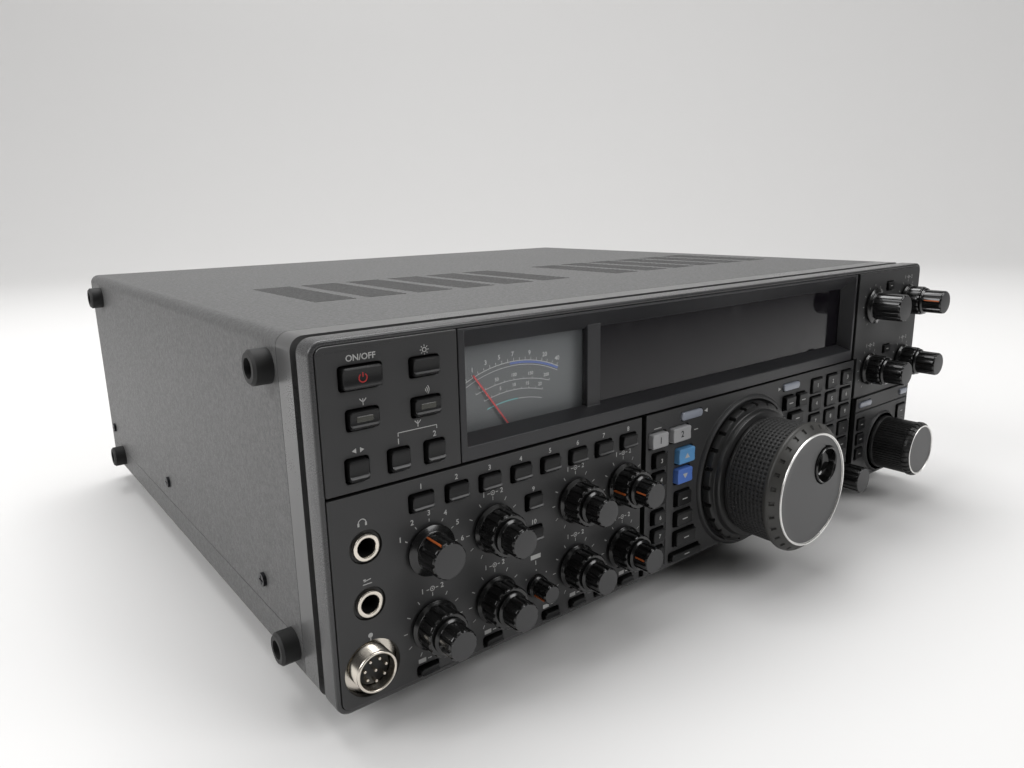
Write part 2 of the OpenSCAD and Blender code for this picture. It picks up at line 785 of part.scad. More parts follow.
// Threaded shell on a flange, the insert and its pins
module mic_socket() {
    seat = panel_t + slack;
    color("#c9c4b8") place() {
        difference() {
            union() {
                bar_y(mic_at, -mic_out, seat + 2, mic_r);
                bar_y(mic_at, seat, seat + 2, mic_recess_r + 0.6);
                bar_y(mic_at, seat, seat + 12, mic_r - 0.4);
            }
            bar_y(mic_at, -mic_out - 1, seat + 10, mic_r - 1.1);
        }
        bar_y(mic_at, 0.6, seat + 10 - seat_gap, mic_r - 1.1 - seat_gap);
        for (at = mic_pins) bar_y(at, -2.2, 0.6 - seat_gap, mic_pin_r);
    }
}

module indicator_lenses() {
    color("#c4ccd6") place() for (lens = lenses_at) {
        key_slab(lens, 0, -lens_out, panel_t);
        block([lens[0] - lens[2] / 2 - 1, panel_t, lens[1] - 1],
            [lens[0] + lens[2] / 2 + 1, panel_t + 1, lens[1] + 1]);
    }
}

// Boards behind the panels with a switch behind each key, the display's glass
// cell, and the main board on its posts with its screening cans
module circuit_boards() {
    switch_y = panel_t + slack + 1 + key_travel + slack;
    margin = groove_d + 2;
    high = case_h - margin;
    main_z = deck_z + 6;
    color("#2c5a3c") place() {
        difference() {
            union() {
                block([jack_x + 11, board_y, margin], [right_x + 1, pot_y, split_z - 3]);
                block([margin, board_y, split_z + 2], [power_edge - 1, pot_y, high]);
                block([right_x + 2 * right_step + 1, board_y, margin], [case_w - margin, pot_y, high]);
                for (key = all_keys)
                    block([key[0] - 2, switch_y, key[1] - 1.4], [key[0] + 2, board_y + 0.1, key[1] + 1.4]);
            }
            for (at = concat(double_knobs, single_knobs, [dial_at, sub_at]))
                bar_y(at, board_y - 1, pot_y + 1, bushing_r + bore_gap);
        }
        block([pillar_x + pillar_w, window_y + window_t, window_low - 1],
            [open_right - 3, window_y + window_t + 6, window_high + 1]);
        union() {
            block([40, cover_y + 20, main_z], [case_w - 40, case_d - 130, main_z + board_t]);
            for (x = [50, case_w - 50], y = [cover_y + 30, case_d - 140])
                translate([x, y, deck_z]) cylinder(h = 6.1, r = 3);
            for (i = [0:3])
                block([60 + i * 76, cover_y + 40, main_z + 1], [120 + i * 76, cover_y + 110, main_z + 16]);
        }
    }
}

// Control body with its threaded bushing in the panel
module control(at, r, deep) {
    difference() {
        union() {
            bar_y(at, pot_y, pot_y + deep, r);
            bar_y(at, 0, pot_y + 1, bushing_r);
        }
        bar_y(at, -1, shaft_end + 0.5, shaft_r + run_gap);
    }
}

module control_pots() {
    color("#8d9094") place() {
        for (at = concat(double_knobs, single_knobs)) control(at, 8.2, pot_d);
        control(dial_at, 17, 11);
        control(sub_at, 11, 11);
    }
}

module heat_sink() {
    y1 = rear_y - fan_d - 14;
    color("#9a9c9e") place() union() {
        block([case_w / 2 - 60, y1 - 70, deck_z], [case_w / 2 + 60, y1, deck_z + 6]);
        for (x = [0:8.3:117])
            block([case_w / 2 - 59 + x, y1 - 70, deck_z + 5], [case_w / 2 - 57 + x, y1, deck_z + 44]);
    }
}

module power_supply() {
    color("#a7a9ab") place()
        block([case_w - 160, case_d - 210, sheet_t], [case_w - 30, case_d - 50, deck_z - 8]);
}

module fan_frame() {
    front = rear_y - fan_d;
    color("#1d1e20") place() difference() {
        union() {
            difference() {
                slab(fan_at[0] - fan_w / 2, fan_at[1] - fan_w / 2, fan_w, fan_w, 5, front, rear_y);
                bar_y(fan_at, front - 1, rear_y + 1, fan_w / 2 - 2);
            }
            bar_y(fan_at, rear_y - 4, rear_y, hub_r);
            for (a = [45:90:315]) translate([fan_at[0], rear_y - 4, fan_at[1]]) rotate([0, a, 0])
                translate([hub_r - 2, 0, -1.5]) cube([fan_w / 2 - hub_r + 1, 3, 3]);
            bar_y(fan_at, front + 4, rear_y - 3, fan_pin_r);
        }
        for (x = [-1, 1], z = [-1, 1])
            bar_y(fan_at + (fan_w / 2 - 4.5) * [x, z], front - 1, rear_y + 1, 2.1);
    }
}

module fan_rotor() {
    front = rear_y - fan_d + 2;
    back = rear_y - 4 - knob_gap;
    color("#26272a") place() difference() {
        union() {
            bar_y(fan_at, front, back, hub_r + 1);
            for (a = [0:360 / 7:359]) translate([fan_at[0], (front + back) / 2, fan_at[1]]) rotate([0, a, 0])
                rotate([38, 0, 0]) translate([hub_r - 1, -10, -0.8]) cube([fan_w / 2 - hub_r - 3.5, 20, 1.6]);
        }
        bar_y(fan_at, front + 1, back + 1, fan_pin_r + run_gap);
    }
}

// Knob with a skirt and a fluted body that reaches out from a base
module fluted_knob(at, base, reach, skirt, body, bore, flutes) {
    difference() {
        turned(at, [[0, base], [skirt - 0.4, base], [skirt, base + 0.5], [skirt, base + 1.4],
            [body, base + 2.2], [body, reach - 0.8], [body - 0.8, reach], [0, reach]]);
        bar_y(at, bore[1], -base + 1, bore[0]);
        for (i = [0:flutes - 1])
            bar_y(at + (body + 0.15) * [sin(i * 360 / flutes), cos(i * 360 / flutes)],
                -reach - 1, -base - 2.6, 0.55);
    }
}

// Outer knob of a double control, with its hollow shaft
module outer_knob(at) {
    color("#161718") place() {
        fluted_knob(at, knob_gap, outer_out, skirt_r, outer_r, [shaft_r + 0.02, -outer_out - 1], 14);
        difference() {
            bar_y(at, -outer_out + 1, shaft_end - 3, shaft_r);
            bar_y(at, -outer_out, shaft_end, core_r + run_gap);
        }
    }
}

// Inner knob of a double control, with its thin shaft
module inner_knob(at, reach = inner_out, body = inner_r) {
    color("#161718") place() {
        fluted_knob(at, outer_out + knob_gap, reach, body + 1, body, [core_r + 0.02, -reach + 2], 12);
        bar_y(at, -reach + 2.5, shaft_end, core_r);
    }
}

// Knob on a shaft of its own
module single_knob(at, reach, skirt, body) {
    color("#161718") place() {
        fluted_knob(at, knob_gap, reach, skirt, body, [shaft_r + 0.02, -reach + 2], 12);
        bar_y(at, -reach + 2.5, shaft_end, shaft_r);
    }
}

// Dial body: hub in the grip, notched rim, bright edge and flat face
module main_dial_knob() {
    rim_y = dial_out - 7;
    hub = grip_r - 2;
    color("#3a3b3c") place() {
        difference() {
            turned(dial_at, [[0, drag_out + knob_gap], [grip_r - 0.6, drag_out + knob_gap],
                [grip_r - 0.6, drag_out + 2.4], [hub, drag_out + 2.4], [hub, rim_y], [rim_r, rim_y],
                [rim_r, dial_out - 3.6], [rim_r - 4.2, dial_out - 0.9], [rim_r - 4.4, dial_out],
                [rim_r - 5.4, dial_out], [rim_r - 5.8, dial_out - 0.6], [0, dial_out - 0.6]]);
            bar_y(cup_at, -dial_out - 1, -dial_out + cup_d + 2.4, cup_r + slack);
            bar_y(dial_at, -rim_y + 4, 0, shaft_r + 0.02);
            for (i = [0:35])
                bar_y(dial_at + (rim_r - 0.4) * [sin(i * 10), cos(i * 10)], -dial_out, -dial_out + 4.4, 0.9);
        }
        bar_y(cup_at, -dial_out + cup_d - 0.2, -dial_out + cup_d + 2.3, 1.5);
        bar_y(dial_at, -rim_y + 4.5, shaft_end, shaft_r);
    }
}

module main_dial_grip() {
    low = drag_out + 2.4;
    high = dial_out - 7;
    color("#17181a") place() difference() {
        turned(dial_at, [[grip_r - 1.98, low + 0.02], [grip_r - 0.4, low + 0.02], [grip_r, low + 1],
            [grip_r, high - 1], [grip_r - 0.4, high - 0.02], [grip_r - 1.98, high - 0.02]]);
        for (i = [0:71])
            bar_y(dial_at + (grip_r + 0.3) * [sin(i * 5), cos(i * 5)], -high - 1, -low, 0.7);
    }
}

// Cup that turns on a stud in the dial's face
module finger_cup() {
    front = dial_out + 0.5;
    floor_out = dial_out - cup_d;
    color("#111213") place() difference() {
        turned(cup_at, [[0, floor_out - 0.5], [cup_r - 2, floor_out - 0.5], [cup_r - 0.2, floor_out + 1.6],
            [cup_r - 0.2, front - 0.4], [cup_r - 0.8, front], [cup_r - 1.2, front - 0.3],
            [cup_r - 1.6, floor_out + 3], [cup_r - 3.2, floor_out + 1.4], [0, floor_out + 1]]);
        bar_y(cup_at, -floor_out - 0.4, -floor_out + 2, 1.5 + run_gap);
    }
}

// Finned ring behind the dial that sets its drag
module drag_ring() {
    color("#1b1c1d") place() difference() {
        turned(dial_at, [[bushing_r + 1, knob_gap], [drag_r - 0.5, knob_gap], [drag_r - 0.5, 5],
            [drag_r - 2.4, 5.6], [grip_r + 2.6, 5.6], [grip_r + 2.2, drag_out], [bushing_r + 1, drag_out]]);
        for (i = [0:23])
            bar_y(dial_at + (drag_r - 0.1) * [sin(i * 15), cos(i * 15)], -7, -1.4, 1.4);
    }
}

module sub_dial_knob() {
    rim_y = sub_out - 4.5;
    body = sub_r - 0.8;
    color("#1b1c1d") place() {
        difference() {
            turned(sub_at, [[0, knob_gap], [sub_r - 0.4, knob_gap], [sub_r - 0.4, 3], [body, 3.6],
                [body, rim_y], [sub_r - 0.3, rim_y + 0.4], [sub_r - 0.3, sub_out - 2],
                [sub_r - 1.6, sub_out], [sub_r - 2.4, sub_out], [sub_r - 2.6, sub_out - 0.5],
                [0, sub_out - 0.5]]);
            bar_y(sub_at, -rim_y, 0, shaft_r + 0.02);
            for (i = [0:47])
                bar_y(sub_at + (body + 0.3) * [sin(i * 7.5), cos(i * 7.5)], -rim_y, -3.8, 0.6);
        }
        bar_y(sub_at, -rim_y + 0.5, shaft_end, shaft_r);
    }
}

module keys(list, tint, reach = key_out) {
    color(tint) place() for (key = list) key_cap(key, reach);
}

top_cover();
bottom_cover();
chassis_frame();
rear_panel();
front_bezel();
left_panel();
power_panel();
display_bezel();
centre_panel();
right_panel();
display_window();
meter_window();
meter_dial();
meter_needle();
rubber_feet();
cover_screws();
front_jacks();
mic_socket();
indicator_lenses();
circuit_boards();
control_pots();
heat_sink();
power_supply();
rear_sockets();
fan_frame();
fan_rotor();
main_dial_knob();
main_dial_grip();
finger_cup();
drag_ring();
sub_dial_knob();
single_knob(selector_at, single_out, skirt_r, single_r);  // meter_selector_knob
outer_knob(monitor_at);  // monitor_outer_knob
inner_knob(monitor_at);  // monitor_inner_knob
outer_knob(speed_at);  // speed_outer_knob
inner_knob(speed_at);  // speed_inner_knob
outer_knob(blanker_at);  // blanker_outer_knob
inner_knob(blanker_at);  // blanker_inner_knob
outer_knob(mic_gain_at);  // mic_gain_outer_knob
inner_knob(mic_gain_at);  // mic_gain_inner_knob
outer_knob(vox_at);  // vox_outer_knob
inner_knob(vox_at);  // vox_inner_knob
outer_knob(main_gain_at);  // main_gain_outer_knob
inner_knob(main_gain_at);  // main_gain_inner_knob
outer_knob(sub_gain_at);  // sub_gain_outer_knob
inner_knob(sub_gain_at);  // sub_gain_inner_knob
single_knob(squelch_at, small_out, small_r + 0.7, small_r);  // squelch_knob
single_knob(contour_at, long_out, skirt_r + 0.8, single_r + 0.8);  // contour_knob
outer_knob(width_at);  // width_outer_knob
inner_knob(width_at, tall_out, tall_r);  // width_inner_knob
outer_knob(notch_at);  // notch_outer_knob
inner_knob(notch_at, tall_out, tall_r);  // notch_inner_knob
outer_knob(clarifier_at);  // clarifier_outer_knob
inner_knob(clarifier_at, tall_out, tall_r);  // clarifier_inner_knob
single_knob(memory_at, long_out, skirt_r, single_r + 0.6);  // memory_knob
keys(power_key, "#1b1c1e");  // power_button
keys(concat(upper_keys, low_keys), "#2a2b2d");  // left_keys
keys(mode_keys_at, "#8a8d90");  // mode_keys
keys(dial_keys_at, "#3f6fb0");  // dial_keys
keys(concat(number_keys_at, right_keys_at), "#3c3d3f", flat_out);  // number_keys
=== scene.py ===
import json
import math
import bmesh
import bpy
import numpy as np
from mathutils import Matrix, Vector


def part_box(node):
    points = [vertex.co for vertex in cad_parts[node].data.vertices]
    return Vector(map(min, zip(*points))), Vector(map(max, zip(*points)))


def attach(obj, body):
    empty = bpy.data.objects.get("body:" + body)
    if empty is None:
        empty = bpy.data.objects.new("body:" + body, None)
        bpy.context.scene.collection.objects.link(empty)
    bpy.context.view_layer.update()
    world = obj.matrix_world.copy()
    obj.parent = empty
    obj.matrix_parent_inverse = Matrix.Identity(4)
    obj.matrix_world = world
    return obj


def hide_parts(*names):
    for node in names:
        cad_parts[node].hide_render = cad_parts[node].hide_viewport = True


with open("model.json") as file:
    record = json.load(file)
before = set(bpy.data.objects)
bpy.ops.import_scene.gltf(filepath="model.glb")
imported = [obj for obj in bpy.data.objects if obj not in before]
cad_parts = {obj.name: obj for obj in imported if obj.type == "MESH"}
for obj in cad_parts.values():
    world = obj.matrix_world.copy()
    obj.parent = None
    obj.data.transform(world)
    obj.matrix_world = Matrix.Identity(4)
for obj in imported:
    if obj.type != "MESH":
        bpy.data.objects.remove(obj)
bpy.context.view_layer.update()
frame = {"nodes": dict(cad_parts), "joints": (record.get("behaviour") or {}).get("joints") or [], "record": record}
MM = 0.001

# Camera
# It stands near the front left corner, a hand above the top cover, and looks at the front and the left side
# through a wide lens.


def added(name, data):
    """New object with this data, linked to the scene."""
    thing = bpy.data.objects.new(name, data)
    bpy.context.scene.collection.objects.link(thing)
    return thing


camera = added("camera", bpy.data.cameras.new("camera"))
camera.location = (-0.2896, -0.3812, 0.1814)
camera.rotation_euler = [math.radians(angle) for angle in (76.73, 1.11, -38.22)]
camera.data.sensor_width = 36
camera.data.lens = 26.13
camera.data.clip_start = 0.01
bpy.context.scene.camera = camera

# Studio
# A pale paper sweep that curves up into a wall, under a wide soft light overhead. Its front is dark grey,
# which the windows mirror. Weaker lights open up the front and the left side, and one washes the wall.
bpy.context.scene.view_settings.view_transform = "Standard"


def quads(rows, columns, closed=True, looped=False):
    """Quads of a grid of points: each corner with the next one in its row and the two below them.
    In a closed grid the last column joins the first, and in a looped one the last row joins the first."""
    start = np.arange(columns if closed else columns - 1)
    row = np.arange(rows if looped else rows - 1)[:, None]
    after, below = (start + 1) % columns, (row + 1) % rows
    corners = [row * columns + start, row * columns + after, below * columns + after, below * columns + start]
    return np.stack(corners, -1).reshape(-1, 4)


def sweep(flat, bend, wall, steps=96):
    """Rings about the vertical axis: the radius grows to the flat's edge, then follows a quarter circle up
    to a straight wall."""
    turn = np.linspace(0, math.pi / 2, 12)
    radius = np.concatenate([[0.02, flat / 2], flat + bend * np.sin(turn), [flat + bend]])
    height = np.concatenate([[0, 0], bend * (1 - np.cos(turn)), [wall]])
    angle = np.linspace(0, 2 * math.pi, steps, endpoint=False)
    across = [radius[:, None] * np.cos(angle), radius[:, None] * np.sin(angle)]
    return np.stack(across + [height[:, None] + 0 * angle], -1)


rings = sweep(flat=2.2, bend=1.4, wall=3.4)
paper = bpy.data.meshes.new("sweep")
paper_faces = quads(*rings.shape[:2]).tolist() + [list(range(rings.shape[1]))]
paper.from_pydata(rings.reshape(-1, 3).tolist(), [], paper_faces)
paper.shade_smooth()
floor = added("sweep", paper)


class Shade:
    """A shader socket of one material. Arithmetic on it adds Math nodes."""

    def __init__(self, tree, socket):
        self.tree, self.socket = tree, socket

    def node(self, kind, settings=None, inputs=None, output=0):
        """Adds a node of a kind, makes its settings, then gives its sockets their values or links."""
        made = self.tree.nodes.new("ShaderNode" + kind)
        for key, value in (settings or {}).items():
            setattr(made, key, value)
        for key, value in (inputs or {}).items():
            if isinstance(value, Shade):
                self.tree.links.new(value.socket, made.inputs[key])
            else:
                made.inputs[key].default_value = value
        return Shade(self.tree, made.outputs[output])

    def maths(self, operation, *values):
        return self.node("Math", {"operation": operation}, dict(enumerate(values)))

    def __add__(self, other):
        return self.maths("ADD", self, other)

    def __sub__(self, other):
        return self.maths("SUBTRACT", self, other)

    def __rsub__(self, other):
        return self.maths("SUBTRACT", other, self)

    def __mul__(self, other):
        return self.maths("MULTIPLY", self, other)

    def __pow__(self, other):
        return self.maths("POWER", self, other)

    __radd__ = __add__
    __rmul__ = __mul__

    def axis(self, number):
        """One of these coordinates: 0 for x, 1 for y and 2 for z."""
        return self.node("SeparateXYZ", None, {0: self}, number)

    def ramp(self, low, high):
        """0 below low, 1 above high and a straight line between them."""
        return self.node("MapRange", None, {0: self, 1: low, 2: high})

    def noise(self, size, detail=2.0):
        """Noise on these coordinates with features of a size in millimetres."""
        return self.node("TexNoise", None, {"Vector": self, "Scale": 1 / (size * MM), "Detail": detail})

    def between(self, low, high):
        """Colour that goes from low to high as this value goes from 0 to 1."""
        return self.node("Mix", {"data_type": "RGBA"}, {0: self, 6: low, 7: high}, 2)

    def bent(self, depth):
        """Normal of a surface whose height follows this value, to a depth in millimetres."""
        return self.node("Bump", None, {"Strength": 1.0, "Distance": depth * MM, "Height": self})

    def feed(self, shader, socket):
        self.tree.links.new(self.socket, shader.inputs[socket])


def new_finish(name, **constants):
    """Material with one Principled shader. Its constant sockets are set, and it comes with its
    coordinates."""
    material = bpy.data.materials.new(name)
    material.use_nodes = True
    tree = material.node_tree
    shader = tree.nodes["Principled BSDF"]
    for key, value in constants.items():
        shader.inputs[key.replace("_", " ")].default_value = value
    return material, Shade(tree, tree.nodes.new("ShaderNodeTexCoord").outputs["Object"]), shader


paper_white, paper_place, paper_shader = new_finish("paper_white", Roughness=0.8)
front_tone, back_tone = (0.09, 0.09, 0.092, 1), (0.75, 0.745, 0.74, 1)
paper_place.axis(1).ramp(-0.8, -0.46).between(front_tone, back_tone).feed(paper_shader, "Base Color")
paper.materials.append(paper_white)

sky = bpy.data.worlds.new("sky")
sky.use_nodes = True
sky_inputs = sky.node_tree.nodes["Background"].inputs
sky_inputs["Color"].default_value = (1, 0.995, 0.985, 1)
sky_inputs["Strength"].default_value = 0.38
bpy.context.scene.world = sky


def soft_light(name, place, aim, size, power):
    """Square lamp of a given side in metres at a place, turned to face a point."""
    lamp = bpy.data.lights.new(name, "AREA")
    lamp.size = size
    lamp.energy = power
    holder = added(name, lamp)
    holder.location = place
    away = holder.location - type(holder.location)(aim)
    holder.rotation_euler = away.to_track_quat("Z", "Y").to_euler()


soft_light("overhead", place=(0.1, 0.45, 1.8), aim=(0.0, 0.0, 0.1), size=1.5, power=22)
soft_light("left", place=(-1.6, 0.3, 1.1), aim=(0.0, 0.0, 0.1), size=1.0, power=18)
soft_light("front", place=(0.8, -1.6, 1.3), aim=(0.05, -0.1, 0.05), size=1.0, power=16)
soft_light("wall", place=(0.5, 0.9, 2.7), aim=(2.1, 2.7, 0.7), size=1.6, power=38)

# Covers
# Two folded steel sheets: a deep one over the top and the sides, and a shallow one below. Screws hold them
# to rails inside. They are painted dark grey with a fine baked texture. Slits in the top let the heat out.


def grey(level, blue=1.0):
    """Colour of a grey level, a little bluer where blue is over 1."""
    return (level, level, level * blue, 1)


def toned(colour, share):
    """Colour with its red, green and blue times a share."""
    return tuple(part * share for part in colour[:3]) + (1,)


def dress(material, *nodes):
    """Gives CAD nodes a material in place of their own."""
    for node in nodes:
        for holder in frame["nodes"][node].material_slots:
            holder.material = material


def baked_paint(name, colour, roughness):
    """Textured paint: a fine grain over a wider one that closes up into small hills, duller in the wells,
    with a few faint rubbed patches."""
    material, place, shader = new_finish(name, IOR=1.5)
    fine, wide = place.noise(0.7, 2.0), place.noise(1.7, 2.0)
    slow = place.noise(90, 5.0)
    hills = (0.5 * fine + 0.5 * wide).ramp(0.36, 0.64)
    tone = 0.45 * hills + 0.55 * slow
    tone.between(toned(colour, 0.72), toned(colour, 1.3)).feed(shader, "Base Color")
    (roughness + 0.14 * (0.5 - hills) + 0.1 * (slow - 0.5)).feed(shader, "Roughness")
    hills.bent(0.05).feed(shader, "Normal")
    return material


dress(baked_paint("cover_paint", grey(0.084), 0.5), "top_cover", "bottom_cover")

# Front casting
# A die-cast ring behind the front frame that closes the covers' front edge. It is smooth, painted in the
# same dark grey, and carries the bulkhead, the rails and the deck inside.


def moulded(name, colour, roughness, grain=0.3, depth=0.012, spread=0.12, **constants):
    """Surface with a fine grain. A slow noise shifts its tone and its gloss by a small share, and a noise
    of the grain's size bends its normal."""
    material, place, shader = new_finish(name, **constants)
    slow, fine = place.noise(45, 4.0), place.noise(grain, 3.0)
    tone = 0.6 * slow + 0.4 * fine
    tone.between(toned(colour, 1 - 2 * spread), toned(colour, 1 + 2 * spread)).feed(shader, "Base Color")
    (roughness + 0.16 * (slow - 0.5) + 0.08 * (fine - 0.5)).feed(shader, "Roughness")
    fine.bent(depth).feed(shader, "Normal")
    return material


dress(moulded("casting_paint", grey(0.085), 0.3, grain=0.5, depth=0.006), "chassis_frame")

# Front frame
# A moulded plastic hoop round all the panels with a rounded front lip. Behind it lies a groove where
# it clips to the casting, painted near black as painted shade.
case_low, case_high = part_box("bottom_cover")[0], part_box("top_cover")[1]
case_w, case_h = (case_high.x - case_low.x) / MM, (case_high.z - case_low.z) / MM
face_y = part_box("power_panel")[0].y


def on_front(points):
    """Points given as millimetres right and up from the case's lower left corner and out from the panel
    face, in the frame's metres."""
    across, up, out = np.moveaxis(np.asarray(points, float), -1, 0)
    return np.stack([case_low.x + across * MM, face_y - out * MM, case_low.z + up * MM], -1)


def round_rect(middle, width, height, radius, steps=7):
    """Points once round a rectangle with round corners: at each corner a quarter circle of the radius about
    a centre that lies one radius inside both edges."""
    turn = np.linspace(0, math.pi / 2, steps) + np.arange(4)[:, None] * math.pi / 2
    corner = turn[:, steps // 2]
    side = np.sign(np.stack([np.cos(corner), np.sin(corner)], -1))[:, None]
    centre = np.array(middle) + side * (np.array([width, height]) / 2 - radius)
    arc = np.stack([np.cos(turn), np.sin(turn)], -1) * radius
    return (centre + arc).reshape(-1, 2)


def slab_rings(middle, width, height, radius, profile):
    """Rings round a slab that faces the front: for each step of the profile the rounded rectangle drawn in
    by the inset, at the reach out of the panel face."""
    rings = []
    for inset, out in profile:
        edge = round_rect(middle, width - 2 * inset, height - 2 * inset, max(radius - inset, 0.05))
        rings.append(np.column_stack([edge, np.full(len(edge), out)]))
    return on_front(np.stack(rings))


def loft(rings, tint=0, looped=False):
    """Closed skin over rings of points: quads between neighbours and a flat face on each end, or the last
    ring joined to the first. Tint is the number of its material: for all, for each step and then both ends,
    or in two dimensions for each quad, with the first number on both ends."""
    steps, count = rings.shape[:2]
    faces = quads(steps, count, looped=looped).tolist()
    if np.ndim(tint) == 2:
        tints = np.broadcast_to(tint, (steps - (not looped), count)).ravel().tolist()
        ends = [tints[0]] * 2
    else:
        tints = np.repeat(np.broadcast_to(tint, steps + 1)[: steps - (not looped)], count).tolist()
        ends = list(np.broadcast_to(tint, steps + 1)[steps - 1:])
    if not looped:
        faces += [list(range(count)), list(range((steps - 1) * count, steps * count))]
        tints += ends
    return rings.reshape(-1, 3), faces, tints


def put(name, parts, materials, body, stands_for=(), smooth=35, solid=True):
    """Joins parts into one piece that rides on a body. Solid parts get their faces turned outwards, and
    edges sharper than the smooth angle stay crisp."""
    points, faces, tints, first = [], [], [], 0
    for part, part_faces, part_tints in parts:
        points.append(part)
        faces += [[first + corner for corner in face] for face in part_faces]
        tints += part_tints
        first += len(part)
    mesh = bpy.data.meshes.new(name)
    mesh.from_pydata(np.concatenate(points).tolist(), [], faces)
    for material in materials:
        mesh.materials.append(material)
    mesh.polygons.foreach_set("material_index", np.array(tints, np.int32))
    if solid:
        shape = bmesh.new()
        shape.from_mesh(mesh)
        bmesh.ops.recalc_face_normals(shape, faces=shape.faces)
        shape.to_mesh(mesh)
        shape.free()
    mesh.shade_smooth()
    mesh.set_sharp_from_angle(angle=math.radians(smooth))
    piece = added(name, mesh)
    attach(piece, body)
    if stands_for:
        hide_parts(*stands_for)


case_middle = (case_w / 2, case_h / 2)
edge_r, frame_d, groove_d = 5.0, 10.0, 2.5
frame_inner, groove_back = groove_d + 1.5, -frame_d - 5
lip = [(0, -frame_d), (0, -1.7), (0.1, -1.2), (0.35, -0.85), (0.7, -0.72), (1.6, -0.7), (1.78, -0.8),
       (1.78, -frame_d + 1.5), (frame_inner, -frame_d + 1.5), (frame_inner, -frame_d)]
groove = [(groove_d, -frame_d - 0.02), (groove_d, groove_back), (groove_d + 1.4, groove_back),
          (groove_d + 1.4, -frame_d - 0.02)]
hoops = [loft(slab_rings(case_middle, case_w, case_h, edge_r, profile), tint, looped=True)
         for tint, profile in enumerate((lip, groove))]
frame_plastic = moulded("frame_plastic", grey(0.05, 1.02), 0.27, grain=0.35, depth=0.005)
# Painted shade: near black for the groove behind the frame, the walls of holes and joints in the panels and the
# pits of the dial's grip.
painted_shade_black = moulded("painted_shade_black", grey(0.006), 0.6)
put("front_frame", hoops, [frame_plastic, painted_shade_black], "case", ["front_bezel"])

# Panels
# Five mouldings fill the frame: upper left, lower left, the centre with the raised ring of the dial, the
# stepped right one, and the deep frame of the meter and the display. All have slightly broken edges.
edge_zone = 3.5


def front_spot(place):
    """Millimetres right and up on the front of a place in the frame."""
    return np.array([(place[0] - case_low.x) / MM, (place[2] - case_low.z) / MM])


def softened(name, node, materials, width, choose):
    """Copy of a node with its triangles merged and its flat ones joined, and a small bevel along each edge
    that turns by more than 40 degrees. Choose gives the finish number of a face."""
    edge_angle = math.radians(40)
    mesh = frame["nodes"][node].data.copy()
    mesh.materials.clear()
    for material in materials:
        mesh.materials.append(material)
    shape = bmesh.new()
    shape.from_mesh(mesh)
    bmesh.ops.remove_doubles(shape, verts=shape.verts, dist=1e-6)
    bmesh.ops.dissolve_limit(shape, angle_limit=math.radians(0.6), verts=shape.verts, edges=shape.edges)
    for face in shape.faces:
        face.smooth = True
        face.material_index = choose(face)
    shape.to_mesh(mesh)
    shape.free()
    mesh.set_sharp_from_angle(angle=edge_angle)
    piece = added(name, mesh)
    bevel = piece.modifiers.new("edge", "BEVEL")
    bevel.width = width * MM
    bevel.segments = 2
    bevel.limit_method = "ANGLE"
    bevel.angle_limit = edge_angle
    bevel.use_clamp_overlap = False
    bevel.harden_normals = True
    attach(piece, "case")
    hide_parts(node)


def wall_finish(face):
    """1 for the walls of holes and joints, which face sideways behind the panel face and are painted black as
    painted shade, 2 for the top edge along the frame, which faces up and is painted lighter as a painted
    highlight, and 0 for the rest."""
    middle = face.calc_center_median()
    across, up = front_spot(middle)
    inside = min(across, case_w - across, up, case_h - up) > edge_zone
    hole = inside and abs(face.normal.y) < 0.3 and middle.y > face_y + 0.3 * MM
    return 1 if hole else 2 * int(not inside and face.normal.z > 0.6)


panel_plastic = moulded("panel_plastic", grey(0.034, 1.02), 0.5, grain=0.22, depth=0.01)
ledge_plastic = moulded("ledge_plastic", grey(0.026, 1.1), 0.4, grain=0.22, depth=0.008)
# The edges along the frame that face up take a light grey as a painted highlight; hole walls take painted shade.
painted_highlight_edge = moulded("painted_highlight_edge", grey(0.17), 0.3, grain=0.3, depth=0.004)
panel_finishes = [panel_plastic, painted_shade_black, painted_highlight_edge]
for node in ("left_panel", "power_panel", "centre_panel", "right_panel"):
    softened(node + "_shell", node, panel_finishes, 0.4, wall_finish)
softened("display_bezel_shell", "display_bezel", [ledge_plastic], 0.35, lambda face: 0)

# Windows
# A smoked acrylic sheet in front of the display cell and a clear one in front of the meter, both polished
# and held between their frame and what lies behind.
smoke, smoke_place, smoke_shader = new_finish("smoked_window", IOR=1.5, Specular_IOR_Level=0.32)
dust = smoke_place.noise(14, 6.0).ramp(0.52, 0.78)
dust.between((0.006, 0.005, 0.007, 1), (0.012, 0.011, 0.013, 1)).feed(smoke_shader, "Base Color")
(0.06 + 0.14 * dust).feed(smoke_shader, "Roughness")
dress(smoke, "display_window")
clear, clear_place, clear_shader = new_finish("clear_window", Base_Color=(0.5, 0.52, 0.55, 1), IOR=1.5)
(0.04 + 0.05 * clear_place.noise(20, 4.0)).feed(clear_shader, "Roughness")
facing = clear_place.node("LayerWeight", None, {"Blend": 0.35}, 1)
(0.05 + 0.35 * facing ** 3).feed(clear_shader, "Alpha")
dress(clear, "meter_window")

